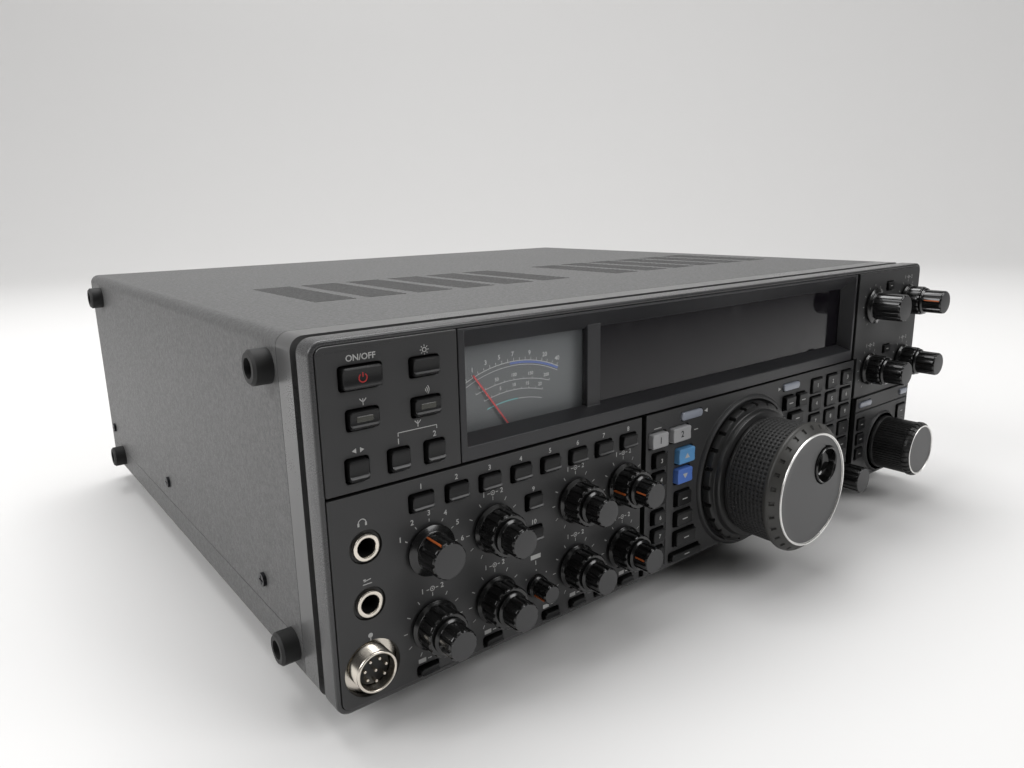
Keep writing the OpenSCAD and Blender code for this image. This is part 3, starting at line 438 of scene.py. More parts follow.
# Meter
# A moving coil meter: a printed card in a black housing, and a thin painted needle on a pivot below the
# card's window. The card carries five flat arcs with plain numbers.
dress(moulded("meter_black", grey(0.012), 0.6), "meter_dial")
dress(moulded("needle_paint", (0.85, 0.09, 0.1, 1), 0.45), "meter_needle")
plate_low, plate_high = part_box("meter_window")
needle_gap, card_margin, card_r, card_d = 0.3, 1.2, 0.6, 0.15
card_out = (face_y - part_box("meter_needle")[1].y) / MM - needle_gap
card_x = ((plate_low.x + plate_high.x) / 2 - case_low.x) / MM
card_w = (plate_high.x - plate_low.x) / MM - 2 * card_margin
card_low = (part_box("meter_dial")[0].z - case_low.z) / MM + 1
card_high = (plate_high.z - case_low.z) / MM - card_margin
card, card_place, card_shader = new_finish("meter_card", IOR=1.45, Roughness=0.5)
# The card is darker towards its top and bottom edges, as painted shade of the housing over it.
fade = card_place.axis(2).ramp(case_low.z + card_low * MM, case_low.z + card_high * MM)
card_tone_and_shade = 0.86 * (4 * fade * (1 - fade)) ** 0.7 + 0.14 * card_place.noise(0.4)
card_tone_and_shade.between((0.1, 0.105, 0.11, 1), (0.19, 0.2, 0.2, 1)).feed(card_shader, "Base Color")
card_rings = slab_rings((card_x, (card_low + card_high) / 2), card_w, card_high - card_low, card_r,
                        [(0, card_out - card_d), (0, card_out)])
put("meter_card", [loft(card_rings)], [card], "case")


def stroke(start, end, width, out):
    """Flat bar from one point of the front to another, as wide as its print."""
    start, end = np.array(start, float), np.array(end, float)
    along = (end - start) / np.linalg.norm(end - start)
    side = np.array([along[1], -along[0]]) * width / 2
    flat = np.stack([start - side, start + side, end + side, end - side])
    return on_front(np.column_stack([flat, np.full(4, out)])), [[0, 1, 2, 3]], [0]


def ray_at(angle):
    """Step of one millimetre on the front at an angle clockwise from the top in degrees."""
    turn = np.radians(angle)
    return np.stack([np.sin(turn), np.cos(turn)], -1)


def arc_print(middle, radius, angles, width, out, steps=48):
    """Flat band along a circle between two angles, which run clockwise from the top in degrees."""
    ray = ray_at(np.linspace(*angles, steps))
    band = np.stack([ray * (radius + width / 2), ray * (radius - width / 2)]) + np.array(middle)
    flat = np.concatenate([band, np.full((2, steps, 1), out)], -1)
    faces = quads(2, steps, closed=False)[:, ::-1].tolist()
    return on_front(flat.reshape(-1, 3)), faces, [0] * len(faces)


def figures(words, middle, height, out):
    """Flat mesh of plain figures, a little bold, centred on a point of the front. The font's capitals are
    0.72 of its size."""
    curve = bpy.data.curves.new("figures", "FONT")
    curve.body, curve.size = words, height / 0.72
    curve.align_x, curve.align_y = "CENTER", "CENTER"
    curve.offset = 0.025 * height
    curve.resolution_u = 3
    holder = added("figures", curve)
    mesh = bpy.data.meshes.new_from_object(holder.evaluated_get(bpy.context.evaluated_depsgraph_get()))
    flat = np.empty(len(mesh.vertices) * 3, np.float32)
    mesh.vertices.foreach_get("co", flat)
    flat = flat.reshape(-1, 3).astype(float)
    faces = [list(face.vertices) for face in mesh.polygons]
    flat[:, :2] += np.array(middle)
    flat[:, 2] = out
    bpy.data.objects.remove(holder)
    bpy.data.curves.remove(curve)
    bpy.data.meshes.remove(mesh)
    return on_front(flat), faces, [0] * len(faces)


def ink(name, colour):
    """Screen print: a flat colour that thins out in fine specks."""
    material, place, shader = new_finish(name, IOR=1.45)
    thin = place.noise(0.15, 3.0).ramp(0.2, 0.75)
    thin.between(toned(colour, 0.8), colour).feed(shader, "Base Color")
    (0.62 - 0.12 * thin).feed(shader, "Roughness")
    return material


scale_x, scale_out = 88.6, card_out + 0.05


def scale_arc(apex, half, sag, x=scale_x):
    """Centre, radius and half angle of the flat arc with a given apex height, half width and sag."""
    radius = (half ** 2 + sag ** 2) / (2 * sag)
    return np.array([x, apex - radius]), radius, math.degrees(math.asin(half / radius))


def scale_line(arc, start, end, width):
    """Band along an arc between two shares of its half angle."""
    centre, radius, half = arc
    return arc_print(centre, radius, (start * half, end * half), width, scale_out)


def scale_ticks(arc, shares, length, width):
    """Short radial bars above an arc, at shares of its span from the left end."""
    centre, radius, half = arc
    return [stroke(centre + ray * radius, centre + ray * (radius + length), width, scale_out)
            for ray in ray_at(half * (2 * shares - 1))]


def scale_numbers(arc, shares, numbers, rise, height):
    """Figures above an arc, at shares of its span from the left end."""
    centre, radius, half = arc
    return [figures(str(number), centre + (radius + rise) * ray, height, scale_out)
            for number, ray in zip(numbers, ray_at(half * (2 * shares - 1)))]


first_arc, second_arc = scale_arc(112.1, 23.4, 5.3), scale_arc(110.4, 23.0, 5.3)
last_arc = scale_arc(96.8, 13.8, 1.9, scale_x + 0.4)
white_scale = [scale_line(first_arc, -1, 1, 0.28), scale_line(second_arc, -1, 1, 0.22)]
white_scale += scale_ticks(first_arc, np.linspace(0.02, 0.98, 17), 1.3, 0.22)
number_shares = np.array([0.1, 0.23, 0.36, 0.49, 0.66, 0.82, 0.96])
white_scale += scale_numbers(first_arc, number_shares, (1, 3, 5, 7, 9, 20, 40), 2.9, 1.8)
for arc, step in ((scale_arc(104.6, 18.4, 3.0), 50), (scale_arc(100.6, 14.6, 2.2), 5)):
    white_scale.append(scale_line(arc, -1, 1, 0.24))
    white_scale += scale_ticks(arc, np.linspace(0, 1, 9), 0.8, 0.18)
    white_scale += scale_numbers(arc, np.linspace(0.06, 0.94, 5), np.arange(5) * step, 2.0, 1.4)
white_scale.append(scale_line(last_arc, 0.12, 1, 0.24))
blue_scale = [arc_print(first_arc[0], first_arc[1] - 0.7, (-2, first_arc[2]), 0.9, scale_out)]
cyan_scale = [scale_line(last_arc, -1, 0.1, 0.5)]
for tint, colour, scale in (("white", (0.72, 0.72, 0.7, 1), white_scale),
                            ("blue", (0.16, 0.24, 0.6, 1), blue_scale),
                            ("cyan", (0.25, 0.62, 0.62, 1), cyan_scale)):
    put("meter_scale_" + tint, scale, [ink(tint + "_ink", colour)], "case", solid=False)

# Jacks
# Two quarter inch jacks of plated brass and black plastic behind the lower left panel. A bright nut holds
# each one in its round sinking.
mounts = {mount["name"]: front_spot(mount["pos_m"]) for mount in frame["record"]["mounts"]}


def turned(centre, profile, steps=72, grooves=0, depth=0.0, width=0.5, sharp=5.0):
    """Rings about an axis out of the front: at each step of the profile the radius and the reach. Grooves
    along the axis take their depth off the radius where the cosine of the angle times their count is above
    the width."""
    radius, out = np.array(profile, float).T
    turn = np.linspace(0, 2 * math.pi, steps, endpoint=False)
    cut = np.clip(0.5 + sharp * (np.cos(grooves * turn) - width), 0, 1) if grooves else 0 * turn
    radius = radius[:, None] - np.broadcast_to(depth, radius.shape)[:, None] * cut
    across, up = centre[0] + radius * np.sin(turn), centre[1] + radius * np.cos(turn)
    return on_front(np.stack([across, up, out[:, None] + 0 * turn], -1))


def plated(name, colour, roughness):
    """Plated metal: a fine brushing shifts its gloss, and a slow noise dulls it in patches."""
    material, place, shader = new_finish(name, Metallic=1.0)
    slow, fine = place.noise(6, 4.0), place.noise(0.2, 3.0)
    slow.between(toned(colour, 0.8), colour).feed(shader, "Base Color")
    (roughness + 0.12 * (slow - 0.5) + 0.1 * (fine - 0.5)).feed(shader, "Roughness")
    fine.bent(0.003).feed(shader, "Normal")
    return material


nickel = plated("nickel", (0.86, 0.8, 0.71, 1), 0.24)
bore_black = moulded("bore_black", grey(0.006), 0.5)
nut = [(0.2, -30), (5.85, -30), (5.85, -3.3), (4.25, -3.3), (4.25, -1.2), (4.7, -1.2), (4.9, -0.9),
       (4.9, 0.35), (4.75, 0.6), (4.5, 0.7), (3.75, 0.7), (3.5, 0.6), (3.35, 0.35), (3.25, 0),
       (3.25, -27.8), (0.2, -28)]
nut_tints = [1] * 4 + [0] * 9 + [1] * 4
jacks = [loft(turned(mounts[name], nut), nut_tints) for name in ("phones_jack", "key_jack")]
put("jack_pair", jacks, [nickel, bore_black], "case", ["front_jacks"])

# Microphone socket
# A threaded plated shell on a flange that is held behind the panel. A black moulded insert in it carries
# eight bright pins.
mic = mounts["mic_thread"]
thread_r, thread_d = 7.8, 0.5
thread = [(thread_r - thread_d * (step % 2), out) for step, out in enumerate(np.arange(-3.2, 3.0, 0.5))]
mic_shell = [(7.4, -15), (7.4, -5.3), (11.2, -5.3), (11.2, -3.35), (7.5, -3.35)] + thread
mic_shell += [(7.75, 3.1), (7.6, 3.4), (7.3, 3.5), (6.95, 3.5), (6.75, 3.35), (6.7, 3.1), (6.7, -14)]
insert = [(0.2, -14), (6.55, -14), (6.55, -0.9), (6.4, -0.65), (6.1, -0.6), (0.2, -0.6)]
pin = [(0.6, -2), (0.6, 1.8), (0.52, 2.05), (0.35, 2.2), (0.1, 2.25)]
pin_circle_r = 4.2
pin_spots = [mic, *(mic + pin_circle_r * ray_at(np.arange(7) * 360 / 7 + 180))]
mic_parts = [loft(turned(mic, mic_shell, 96), 0, looped=True), loft(turned(mic, insert), 1)]
mic_parts += [loft(turned(spot, pin, 16)) for spot in pin_spots]
put("microphone_socket", mic_parts, [nickel, bore_black], "case", ["mic_socket"], smooth=50)

# Keys
# Moulded caps that each stand in a hole of a panel on a switch of the board behind. Their faces are
# scooped, so that the lower edge catches the light, and that lip is also painted lighter as a painted
# highlight. The sides of the dark caps are painted near black as painted shade of the gap round them.
key_ear, key_back = 1.1, -3.4
spots = {joint["child"]: front_spot(joint["pos_m"]) for joint in frame["joints"] if joint["type"] == "hinge"}
dial = spots["main_dial"]


def solids(node):
    """Boxes of the separate solids in a node. Corners at one place are one point, and each point takes the
    lowest number among the triangles that meet there, again and again until nothing changes."""
    mesh = frame["nodes"][node].data
    place = np.empty(len(mesh.vertices) * 3, np.float32)
    corner = np.empty(len(mesh.loops), np.int32)
    mesh.vertices.foreach_get("co", place)
    mesh.loops.foreach_get("vertex_index", corner)
    place = place.reshape(-1, 3).astype(float)
    spot = np.unique(np.round(place / 1e-6).astype(np.int64), axis=0, return_inverse=True)[1].ravel()
    triangle = spot[corner.reshape(-1, 3)]
    label, before = np.arange(spot.max() + 1), None
    while before is None or (label != before).any():
        before = label.copy()
        np.minimum.at(label, triangle, label[triangle].min(1)[:, None])
        label = label[label]
    groups = label[spot]
    return [(place[groups == group].min(0), place[groups == group].max(0)) for group in np.unique(groups)]


def key_spots(node):
    """Middles on the front of the keys in a node, with the reach of their front."""
    return [(*front_spot((low + high) / 2), (face_y - low[1]) / MM) for low, high in solids(node)]


def key_cap(low, high, section, radius=1.0, sink=0.4, draft=0.35):
    """Rings across a key cap in its solid's box. The section gives shares of the half height and depths
    below the front. Towards both ends the half height follows the round corners, the front sinks along a
    quarter circle, and the sides draw in by the draft. Also gives the finish of each strip: 0 for the back
    and the sides, 1 for the front and -1 for the lip, which takes a lighter finish as a painted highlight."""
    width, height = (high[0] - low[0]) / MM - 2 * key_ear, (high[2] - low[2]) / MM
    middle, out = front_spot((low + high) / 2), (face_y - low[1]) / MM
    share, below = np.array(section).T
    near = np.array([0, 0.03, 0.12, 0.25, 0.45, 0.7, 1]) * radius
    across = np.concatenate([near, width - near[::-1]])
    inside = np.minimum(np.minimum(across, width - across), radius)
    half = height / 2 - radius + np.sqrt(radius ** 2 - (radius - inside) ** 2)
    fall = sink * (1 - np.sqrt(1 - (1 - np.minimum(inside / sink, 1)) ** 2))
    up = middle[1] + half[:, None] * share
    reach = np.maximum(out - below - fall[:, None], key_back)
    narrow = np.where(below < 5, 1 - 2 * draft / width, 1)
    rings = on_front(np.stack([middle[0] + (across[:, None] - width / 2) * narrow, up, reach], -1))
    after, drop = np.roll(share, -1), np.roll(below, -1) - below
    front = ((np.abs(share) < 1) | (np.abs(after) < 1)).astype(int)
    front[(share < -0.5) & (drop > 0.4) & (drop < 1)] = -1
    return rings, front[None]


def key_bank(name, node, faces, choose, section, extras=()):
    """One piece with a cap for each solid of a node. Choose gives the number of a face finish for a place
    on the front. The sides are painted near black as painted shade of the gap, or have the face's finish
    where that isn't the first, and the lips take a lighter finish as a painted highlight. Extra parts with
    their own finish numbers are joined to it."""
    caps = []
    for low, high in solids(node):
        rings, strips = key_cap(low, high, section)
        colour = choose(front_spot((low + high) / 2))
        face_tints = np.maximum(strips, colour > 0) * (2 + colour)
        caps.append(loft(rings, np.where(strips < 0, 1, face_tints)))
    put(name, caps + list(extras), [key_side_shade, key_lip_highlight] + faces, node, [node], smooth=24)


def mode_colour(spot):
    """1 for the two pale mode keys, which lie in the top row, and 0 for the dark ones."""
    return int(spot[1] > dial[1] + 26)


def dial_colour(spot):
    """2 and 1 for the upper and the lower blue key left of the dial, and 0 for the dark keys round it."""
    above = spot[1] - dial[1]
    return int(spot[0] < dial[0]) * (int(above > 6) + int(above > 16))


lipped = [(-1, 9), (-1, 1.1), (-0.94, 0.8), (-0.78, 0.1), (-0.72, 0), (-0.66, 0.02), (-0.46, 0.5),
          (-0.38, 0.56), (0.1, 0.46), (0.5, 0.3), (0.84, 0.12), (0.95, 0.22), (1, 0.6), (1, 9)]
hollow = [(-1, 9), (-1, 0.45), (-0.93, 0.14), (-0.82, 0), (-0.7, 0.06), (0, 0.2), (0.7, 0.06), (0.82, 0),
          (0.93, 0.14), (1, 0.45), (1, 9)]
broad = [(-1, 9), (-1, 0.6), (-0.94, 0.18), (-0.84, 0), (-0.74, 0.12), (-0.5, 0.45), (0.5, 0.45),
         (0.74, 0.12), (0.84, 0), (0.93, 0.12), (1, 0.5), (1, 9)]
# Painted shade and highlight: the sides of dark caps are near black and dull, and their lips a lighter grey.
key_side_shade = moulded("key_side_shade", grey(0.004), 0.5, Specular_IOR_Level=0.2)
key_lip_highlight = moulded("key_lip_highlight", grey(0.036, 1.02), 0.36, grain=0.25, depth=0.004)
key_dark = moulded("key_dark", grey(0.011, 1.03), 0.36, grain=0.25, depth=0.006, Specular_IOR_Level=0.3)
key_pale = moulded("key_pale", grey(0.36, 1.02), 0.45, grain=0.25, depth=0.006)
key_sky = moulded("key_sky", (0.12, 0.32, 0.6, 1), 0.4, grain=0.25, depth=0.006)
key_blue = moulded("key_blue", (0.09, 0.19, 0.56, 1), 0.4, grain=0.25, depth=0.006)
key_lens = moulded("key_lens", (0.035, 0.035, 0.026, 1), 0.2, grain=0.6, depth=0.002, Coat_Weight=0.3)
lens_row = (103, 108)
lenses = [loft(slab_rings((x, z + 0.4), 6.0, 2.0, 0.3, [(0, 1.2), (0, out - 0.36), (0.15, out - 0.28)]), 3)
          for x, z, out in key_spots("left_keys") if lens_row[0] < z < lens_row[1]]
key_bank("power_cap", "power_button", [key_dark], lambda spot: 0, broad)
key_bank("left_caps", "left_keys", [key_dark, key_lens], lambda spot: 0, lipped, lenses)
key_bank("mode_caps", "mode_keys", [key_dark, key_pale], mode_colour, hollow)
key_bank("dial_caps", "dial_keys", [key_dark, key_blue, key_sky], dial_colour, hollow)
key_bank("number_caps", "number_keys", [key_dark], lambda spot: 0, hollow)

# Light bars
# Four pale moulded diffusers that fill slots of the centre and right panels from behind. They bulge a
# little and light up when the set runs.


def lens_rings(low, high, ear=1.0, bulge=0.15, radius=1.6, rim=0.35):
    """Rings of a diffuser in its solid's box: straight sides, a rounded rim, then rings drawn in to the
    middle that rise by the bulge times one less the square of their height over the face's half height."""
    width, height = (high[0] - low[0]) / MM - 2 * ear, (high[2] - low[2]) / MM
    middle = front_spot((low + high) / 2)
    out = (face_y - low[1]) / MM
    sides = [(0, key_back), (0, out - rim), (0.08 * rim, out - 0.5 * rim), (0.3 * rim, out - 0.16 * rim),
             (rim, out)]
    inner = [(inset, out) for inset in np.linspace(rim + 0.06, min(width, height) / 2 - 0.06, 6)]
    rings = slab_rings(middle, width, height, radius, sides + inner)
    face = rings[len(sides):]
    level = ((face[..., 2] - case_low.z) / MM - middle[1]) / (height / 2 - rim)
    face[..., 1] -= bulge * MM * np.clip(1 - level ** 2, 0, 1)
    return rings


lens_pale = moulded("lens_pale", (0.27, 0.29, 0.34, 1), 0.3, depth=0.002, Coat_Weight=0.3)
bars = [loft(lens_rings(low, high)) for low, high in solids("indicator_lenses")]
put("light_bars", bars, [lens_pale], "case", ["indicator_lenses"], smooth=48)

# Knobs
# Gloss black moulded knobs on round shafts: double ones with a tall inner knob through a skirted outer one,
# and single ones. Each has a skirt, a ribbed body and a grey cap, and most carry an orange pointer line.
knob_black = moulded("knob_black", grey(0.007), 0.22, grain=0.4, depth=0.003, spread=0.2, Coat_Weight=0.25)
cap_grey = moulded("cap_grey", grey(0.04, 1.03), 0.42, grain=0.3, depth=0.005)
pointer_orange = ink("pointer_orange", (0.52, 0.12, 0.025, 1))
knob_finishes = [knob_black, cap_grey, pointer_orange]
outer_reach, inner_reach, tall_reach, knob_gap = 10.5, 19.5, 23, 0.5


def knob_rings(centre, base, reach, skirt, body, ribs, end_tint, lift, hole=0.3):
    """Rings of a ribbed knob from its base to its reach: a skirt with a rounded rim, a straight body with
    grooves between the ribs, a rounded shoulder and a flat end. Lift scales the skirt's height. Also gives
    the finish of each step."""
    lower = [(hole, base), (skirt - 0.4, base), (skirt, base + 0.35 * lift), (skirt, base + 1.2 * lift),
             (skirt - 0.35, base + 1.55 * lift), (body + 0.5, base + 1.9 * lift),
             (body + 0.12, base + 2.2 * lift), (body, base + 2.6 * lift)]
    upper = [(body, base + 2.7 * lift), (body, reach - 0.95), (body - 0.12, reach - 0.5),
             (body - 0.45, reach - 0.12)]
    end = [(body - 0.62, reach), (body - 0.8, reach + 0.02), (hole, reach + 0.02)]
    depth = [0] * len(lower) + [0.5, 0.5, 0.4, 0.15] + [0] * len(end)
    rings = turned(centre, lower + upper + end, ribs * 12, ribs, depth, 0.35)
    return rings, [0] * (len(lower) + len(upper)) + [end_tint] * 2 + [0, end_tint]


def pointer(centre, angle, radius, start, end, width=0.65, rise=0.06, sunk=0.9):
    """Bar along a knob's body at an angle clockwise from the top in degrees, from one reach to another. It
    starts below the body's surface and rises a little out of it."""
    ray, side = ray_at(angle), ray_at(angle + 90) * width / 2
    low, high = centre + ray * (radius - sunk), centre + ray * (radius + rise)
    flat = np.array([low - side, low + side, high + side, high - side])
    rings = np.stack([np.column_stack([flat, np.full(4, out)]) for out in (start, end)])
    return loft(on_front(rings), 2)


def knob(body, reach, skirt, radius, ribs, angle=None, base=knob_gap, end_tint=1, lift=1.0):
    """One knob in place of its node, with a pointer line where it has one."""
    rings, tints = knob_rings(spots[body], base, reach, skirt, radius, ribs, end_tint, lift)
    parts = [loft(rings, tints)]
    if angle is not None:
        parts.append(pointer(spots[body], angle, radius, base + 2.4, reach - 1.05))
    put(body + "_cap", parts, knob_finishes, body, [body + "_knob"], smooth=40)


pointer_turns = {"monitor": (125, 130), "speed": (120, 125), "blanker": (-92, -75), "mic_gain": (125, 130),
                 "vox": (120, 125), "main_gain": (120, 115), "sub_gain": (120, -76), "width": (110, -80),
                 "notch": (105, 110), "clarifier": (110, 105)}
tall_knobs = ("width", "notch", "clarifier")
for name, (outer_turn, inner_turn) in pointer_turns.items():
    reach, radius = (tall_reach, 6.9) if name in tall_knobs else (inner_reach, 5.9)
    knob(name + "_outer", outer_reach, skirt=9.7, radius=8.6, ribs=16, angle=outer_turn, end_tint=0)
    knob(name + "_inner", reach, skirt=radius + 1, radius=radius, ribs=12, angle=inner_turn,
         base=outer_reach + knob_gap, lift=0.5)
knob("meter_selector", reach=13, skirt=9.7, radius=7.0, ribs=12, angle=-24)
knob("squelch", reach=10, skirt=4.8, radius=4.1, ribs=10, angle=-118)
knob("contour", reach=18.5, skirt=10.5, radius=7.8, ribs=14)
knob("memory", reach=18.5, skirt=9.7, radius=7.6, ribs=14)

# Main dial
# A weighted tuning dial: a hub with a notched rim, a bright turned edge and a satin face, a pitted rubber
# grip round it, a spinning finger cup in the face, and behind it a finned ring that sets the drag.
dial_dark = moulded("dial_dark", grey(0.02), 0.36, grain=0.4, depth=0.005)
dial_face = moulded("dial_face", grey(0.08, 1.01), 0.46, grain=0.3, depth=0.004)
dial_rim = moulded("dial_rim", (0.04, 0.039, 0.036, 1), 0.42, grain=0.4, depth=0.008)
dial_edge = plated("dial_edge", (0.93, 0.92, 0.9, 1), 0.34)
cup = spots["finger_cup"]
shaft_r, shaft_back, fins, notches = 3, -15.6, 24, 28
drag = [(5.4, 0.5), (35.4, 0.5), (35.9, 0.9), (36, 1.4), (36, 1.45), (36, 4.5), (35.8, 4.9), (35.4, 5.1),
        (33.9, 5.4), (33.2, 5.5), (32.9, 5.8), (32.7, 7.6), (32.4, 8.2), (31.9, 8.5), (5.4, 8.5)]
drag_depth = [0] * 4 + [1.5, 1.5, 1.3, 0.6] + [0] * 7
drag_parts = [loft(turned(dial, drag, fins * 16, fins, drag_depth, 0.8, 9))]
put("drag_ring_fins", drag_parts, [dial_dark], "drag_ring", ["drag_ring"])

hub = [(3.05, 9), (29, 9), (29.4, 9.2), (29.6, 9.6), (29.6, 10.4), (29.4, 10.8), (28.2, 10.85), (28.2, 31.5)]
rim = [(31.3, 31.5), (31.8, 31.7), (32, 32.2), (32, 33.0), (31.9, 33.5), (31.5, 34.1), (31.3, 34.35),
       (31.2, 34.45), (30.7, 35.0), (30.1, 35.6), (29.5, 36.2), (29.4, 36.3), (28.4, 37.2), (27.9, 37.7)]
rim_depth = [0] * (len(hub) + 7) + [1.1, 1.2, 1.2, 1.1] + [0] * 3
edge = [(27.75, 37.9), (27.7, 38.35), (27.55, 38.5), (27.0, 38.5), (26.85, 38.4), (26.8, 38.0)]
face = [(26.6, 37.9), (22, 37.9)]
pocket = [(9.7, 37.9), (9.6, 37.8), (9.6, 29.7), (0.3, 29.7)]
turn_steps = notches * 20
hub_rings = np.concatenate([turned(dial, hub + rim, turn_steps, notches, rim_depth, 0.7, 6),
                            turned(dial, edge + face, turn_steps), turned(cup, pocket, turn_steps)])
hub_tints = [0] * len(hub) + [3] * len(rim) + [1] * len(edge) + [2] * (len(face) + 1) + [0] * 4
hub_parts = [loft(hub_rings, hub_tints), loft(turned(dial, [(shaft_r, shaft_back), (shaft_r, 27)], 48)),
             loft(turned(cup, [(1.5, 29.8), (1.5, 32.2)], 24))]
put("main_dial_hub", hub_parts, [dial_dark, dial_edge, dial_face, dial_rim], "main_dial",
    ["main_dial_knob"], smooth=30)


def pitted_grip(centre, radius, start, end, around, along, depth, fine=6):
    """Rings of a sleeve whose outside sinks by the depth in square pits: both the angle and the reach are
    cut into cells, and a pit fills the middle of each cell. Also gives the finish of each quad: 1 in the
    pits, which are painted black as painted shade."""
    turn = np.linspace(0, 2 * math.pi, around * fine, endpoint=False)
    out = np.linspace(start + 0.8, end - 0.8, along * fine + 1)
    cell = 2 * math.pi * along * (out - out[0]) / (out[-1] - out[0])
    pit_turn, pit_out = (np.clip(0.5 - 4 * (np.cos(phase) - 0.05), 0, 1) for phase in (around * turn, cell))
    pit = pit_out[:, None] * pit_turn
    inset, reach = np.array([(1.9, start), (0.5, start), (0.1, start + 0.4)]).T
    plain = np.outer(radius - inset, 0 * turn + 1)
    radii = np.concatenate([plain, radius - depth * pit, plain[::-1]])
    level = np.concatenate([reach, out, [end - 0.4, end, end]])[:, None] + 0 * turn
    dark = np.zeros(radii.shape, int)
    dark[3: 3 + len(out)] = np.minimum(pit, np.roll(pit, -1, 1)) > 0.5
    dark[3: 2 + len(out)] &= np.roll(dark, -1, 0)[3: 2 + len(out)]
    across, up = centre[0] + radii * np.sin(turn), centre[1] + radii * np.cos(turn)
    return on_front(np.stack([across, up, level], -1)), dark


grip_rubber = moulded("grip_rubber", grey(0.024), 0.55, grain=0.35, depth=0.02)
grip, grip_tints = pitted_grip(dial, radius=30.2, start=10.92, end=31.45, around=84, along=9, depth=0.8)
put("dial_grip", [loft(grip, grip_tints, looped=True)], [grip_rubber, painted_shade_black], "main_dial",
    ["main_dial_grip"], smooth=60)

cup_gloss = moulded("cup_gloss", grey(0.006), 0.12, depth=0.001, Coat_Weight=0.5)
dish = [(1.58, 32.4), (1.58, 31.5), (7.2, 31.5), (8.4, 32.3), (9.1, 33.6), (9.1, 38.4), (8.95, 38.8),
        (8.6, 39), (8.25, 38.85), (8.05, 38.4), (7.7, 35.4), (7.2, 34.2), (6.2, 33.4), (4, 33.05), (0.3, 33)]
put("finger_dish", [loft(turned(cup, dish, 96))], [cup_gloss], "finger_cup", ["finger_cup"],
    smooth=40)

# Sub dial
# A smaller turned dial on its own shaft, in a raised ring of the right panel. It has fine ribs, a notched
# rim, a bright edge and a grey face.
sub = spots["sub_dial"]
sub_ribs, sub_notches = 60, 30
sub_body = [(3.05, 0.5), (16.1, 0.5), (16.5, 0.8), (16.6, 1.2), (16.6, 2.6), (16.4, 3.1), (16.2, 3.4),
            (16.2, 3.5), (16.2, 20.7), (16.2, 20.8), (16.5, 21.1)]
sub_depth = [0] * 7 + [0.5, 0.5, 0, 0]
sub_rim = [(16.7, 21.5), (16.7, 21.6), (16.7, 23.2), (16.4, 23.9), (15.6, 24.9), (15.4, 25.1)]
sub_rim_depth = [0, 0.6, 0.7, 0.7, 0.2, 0]
sub_end = [(15.3, 25.35), (15.15, 25.5), (14.5, 25.5), (14.35, 25.35), (14.25, 25.05), (0.3, 25)]
sub_steps = sub_ribs * 8
sub_rings = np.concatenate([turned(sub, sub_body, sub_steps, sub_ribs, sub_depth, 0.2, 4),
                            turned(sub, sub_rim, sub_steps, sub_notches, sub_rim_depth, 0.6, 6),
                            turned(sub, sub_end, sub_steps)])
sub_tints = [0] * (len(sub_body) + len(sub_rim)) + [1] * 4 + [2, 0, 2]
sub_parts = [loft(sub_rings, sub_tints), loft(turned(sub, [(shaft_r, shaft_back), (shaft_r, 20)], 48))]
put("sub_dial_body", sub_parts, [dial_dark, dial_edge, dial_face], "sub_dial",
    ["sub_dial_knob"], smooth=32)

# Print
# White screen print on the panels: ticks and plain numbers round the controls, and small signs over the
# keys. The keys carry figures, dashes and arrows, and the power key a red sign.
print_out, line_w, tick_w, digit_h = 0.04, 0.32, 0.3, 2.0


def plate(points, out=print_out):
    """Flat face through points of the front, which run anticlockwise."""
    flat = np.column_stack([np.array(points, float), np.full(len(points), out)])
    return on_front(flat), [list(range(len(points)))], [0]


def bar(middle, width, height, out=print_out):
    """Flat upright rectangle round a point of the front."""
    corners = np.array([(-1, -1), (1, -1), (1, 1), (-1, 1)]) * (width / 2, height / 2)
    return plate(np.array(middle) + corners, out)


def arrow(middle, length, half, way, out=print_out):
    """Triangle round a point of the front that points left where way is -1 and right where it is 1."""
    points = np.array([(-length / 2, 0), (length / 2, -half), (length / 2, half)])
    return plate(np.array(middle) - way * points, out)


def line(*points, width=line_w):
    """Strokes on a panel from point to point."""
    return [stroke(start, end, width, print_out) for start, end in zip(points, points[1:])]


def digits(words, x, z, height=digit_h):
    """Figures on a panel about a point."""
    return figures(str(words), (x, z), height, print_out)


def ray_marks(centre, angles, inner, outer):
    """Ticks that point away from a centre, at angles clockwise from the top in degrees."""
    return [stroke(centre + ray * inner, centre + ray * outer, tick_w, print_out) for ray in ray_at(angles)]


def ring_print(middle, radius, width=line_w):
    """Flat ring about a point of the front."""
    return arc_print(middle, radius, (0, 360), width, print_out, 25)


def dot(middle):
    """Small round spot of print."""
    return ring_print(middle, tick_w / 2, tick_w)


def aerial(x, z):
    """Sign of an aerial: a mast with two arms."""
    return line((x, z - 1.2), (x, z + 1.1)) + line((x - 1.2, z + 1.1), (x, z - 0.2), (x + 1.2, z + 1.1))


def double_sign(centre, rise):
    """Sign over a double control: a dotted ring between two dashes, and a number for the inner and the
    outer knob."""
    x, z = centre + np.array([0, rise])
    sign = [ring_print((x, z), 0.85), dot((x, z)), digits(1, x - 4.2, z), digits(2, x + 4.2, z)]
    return sign + line((x - 2.5, z), (x - 1.4, z)) + line((x + 1.4, z), (x + 2.5, z))


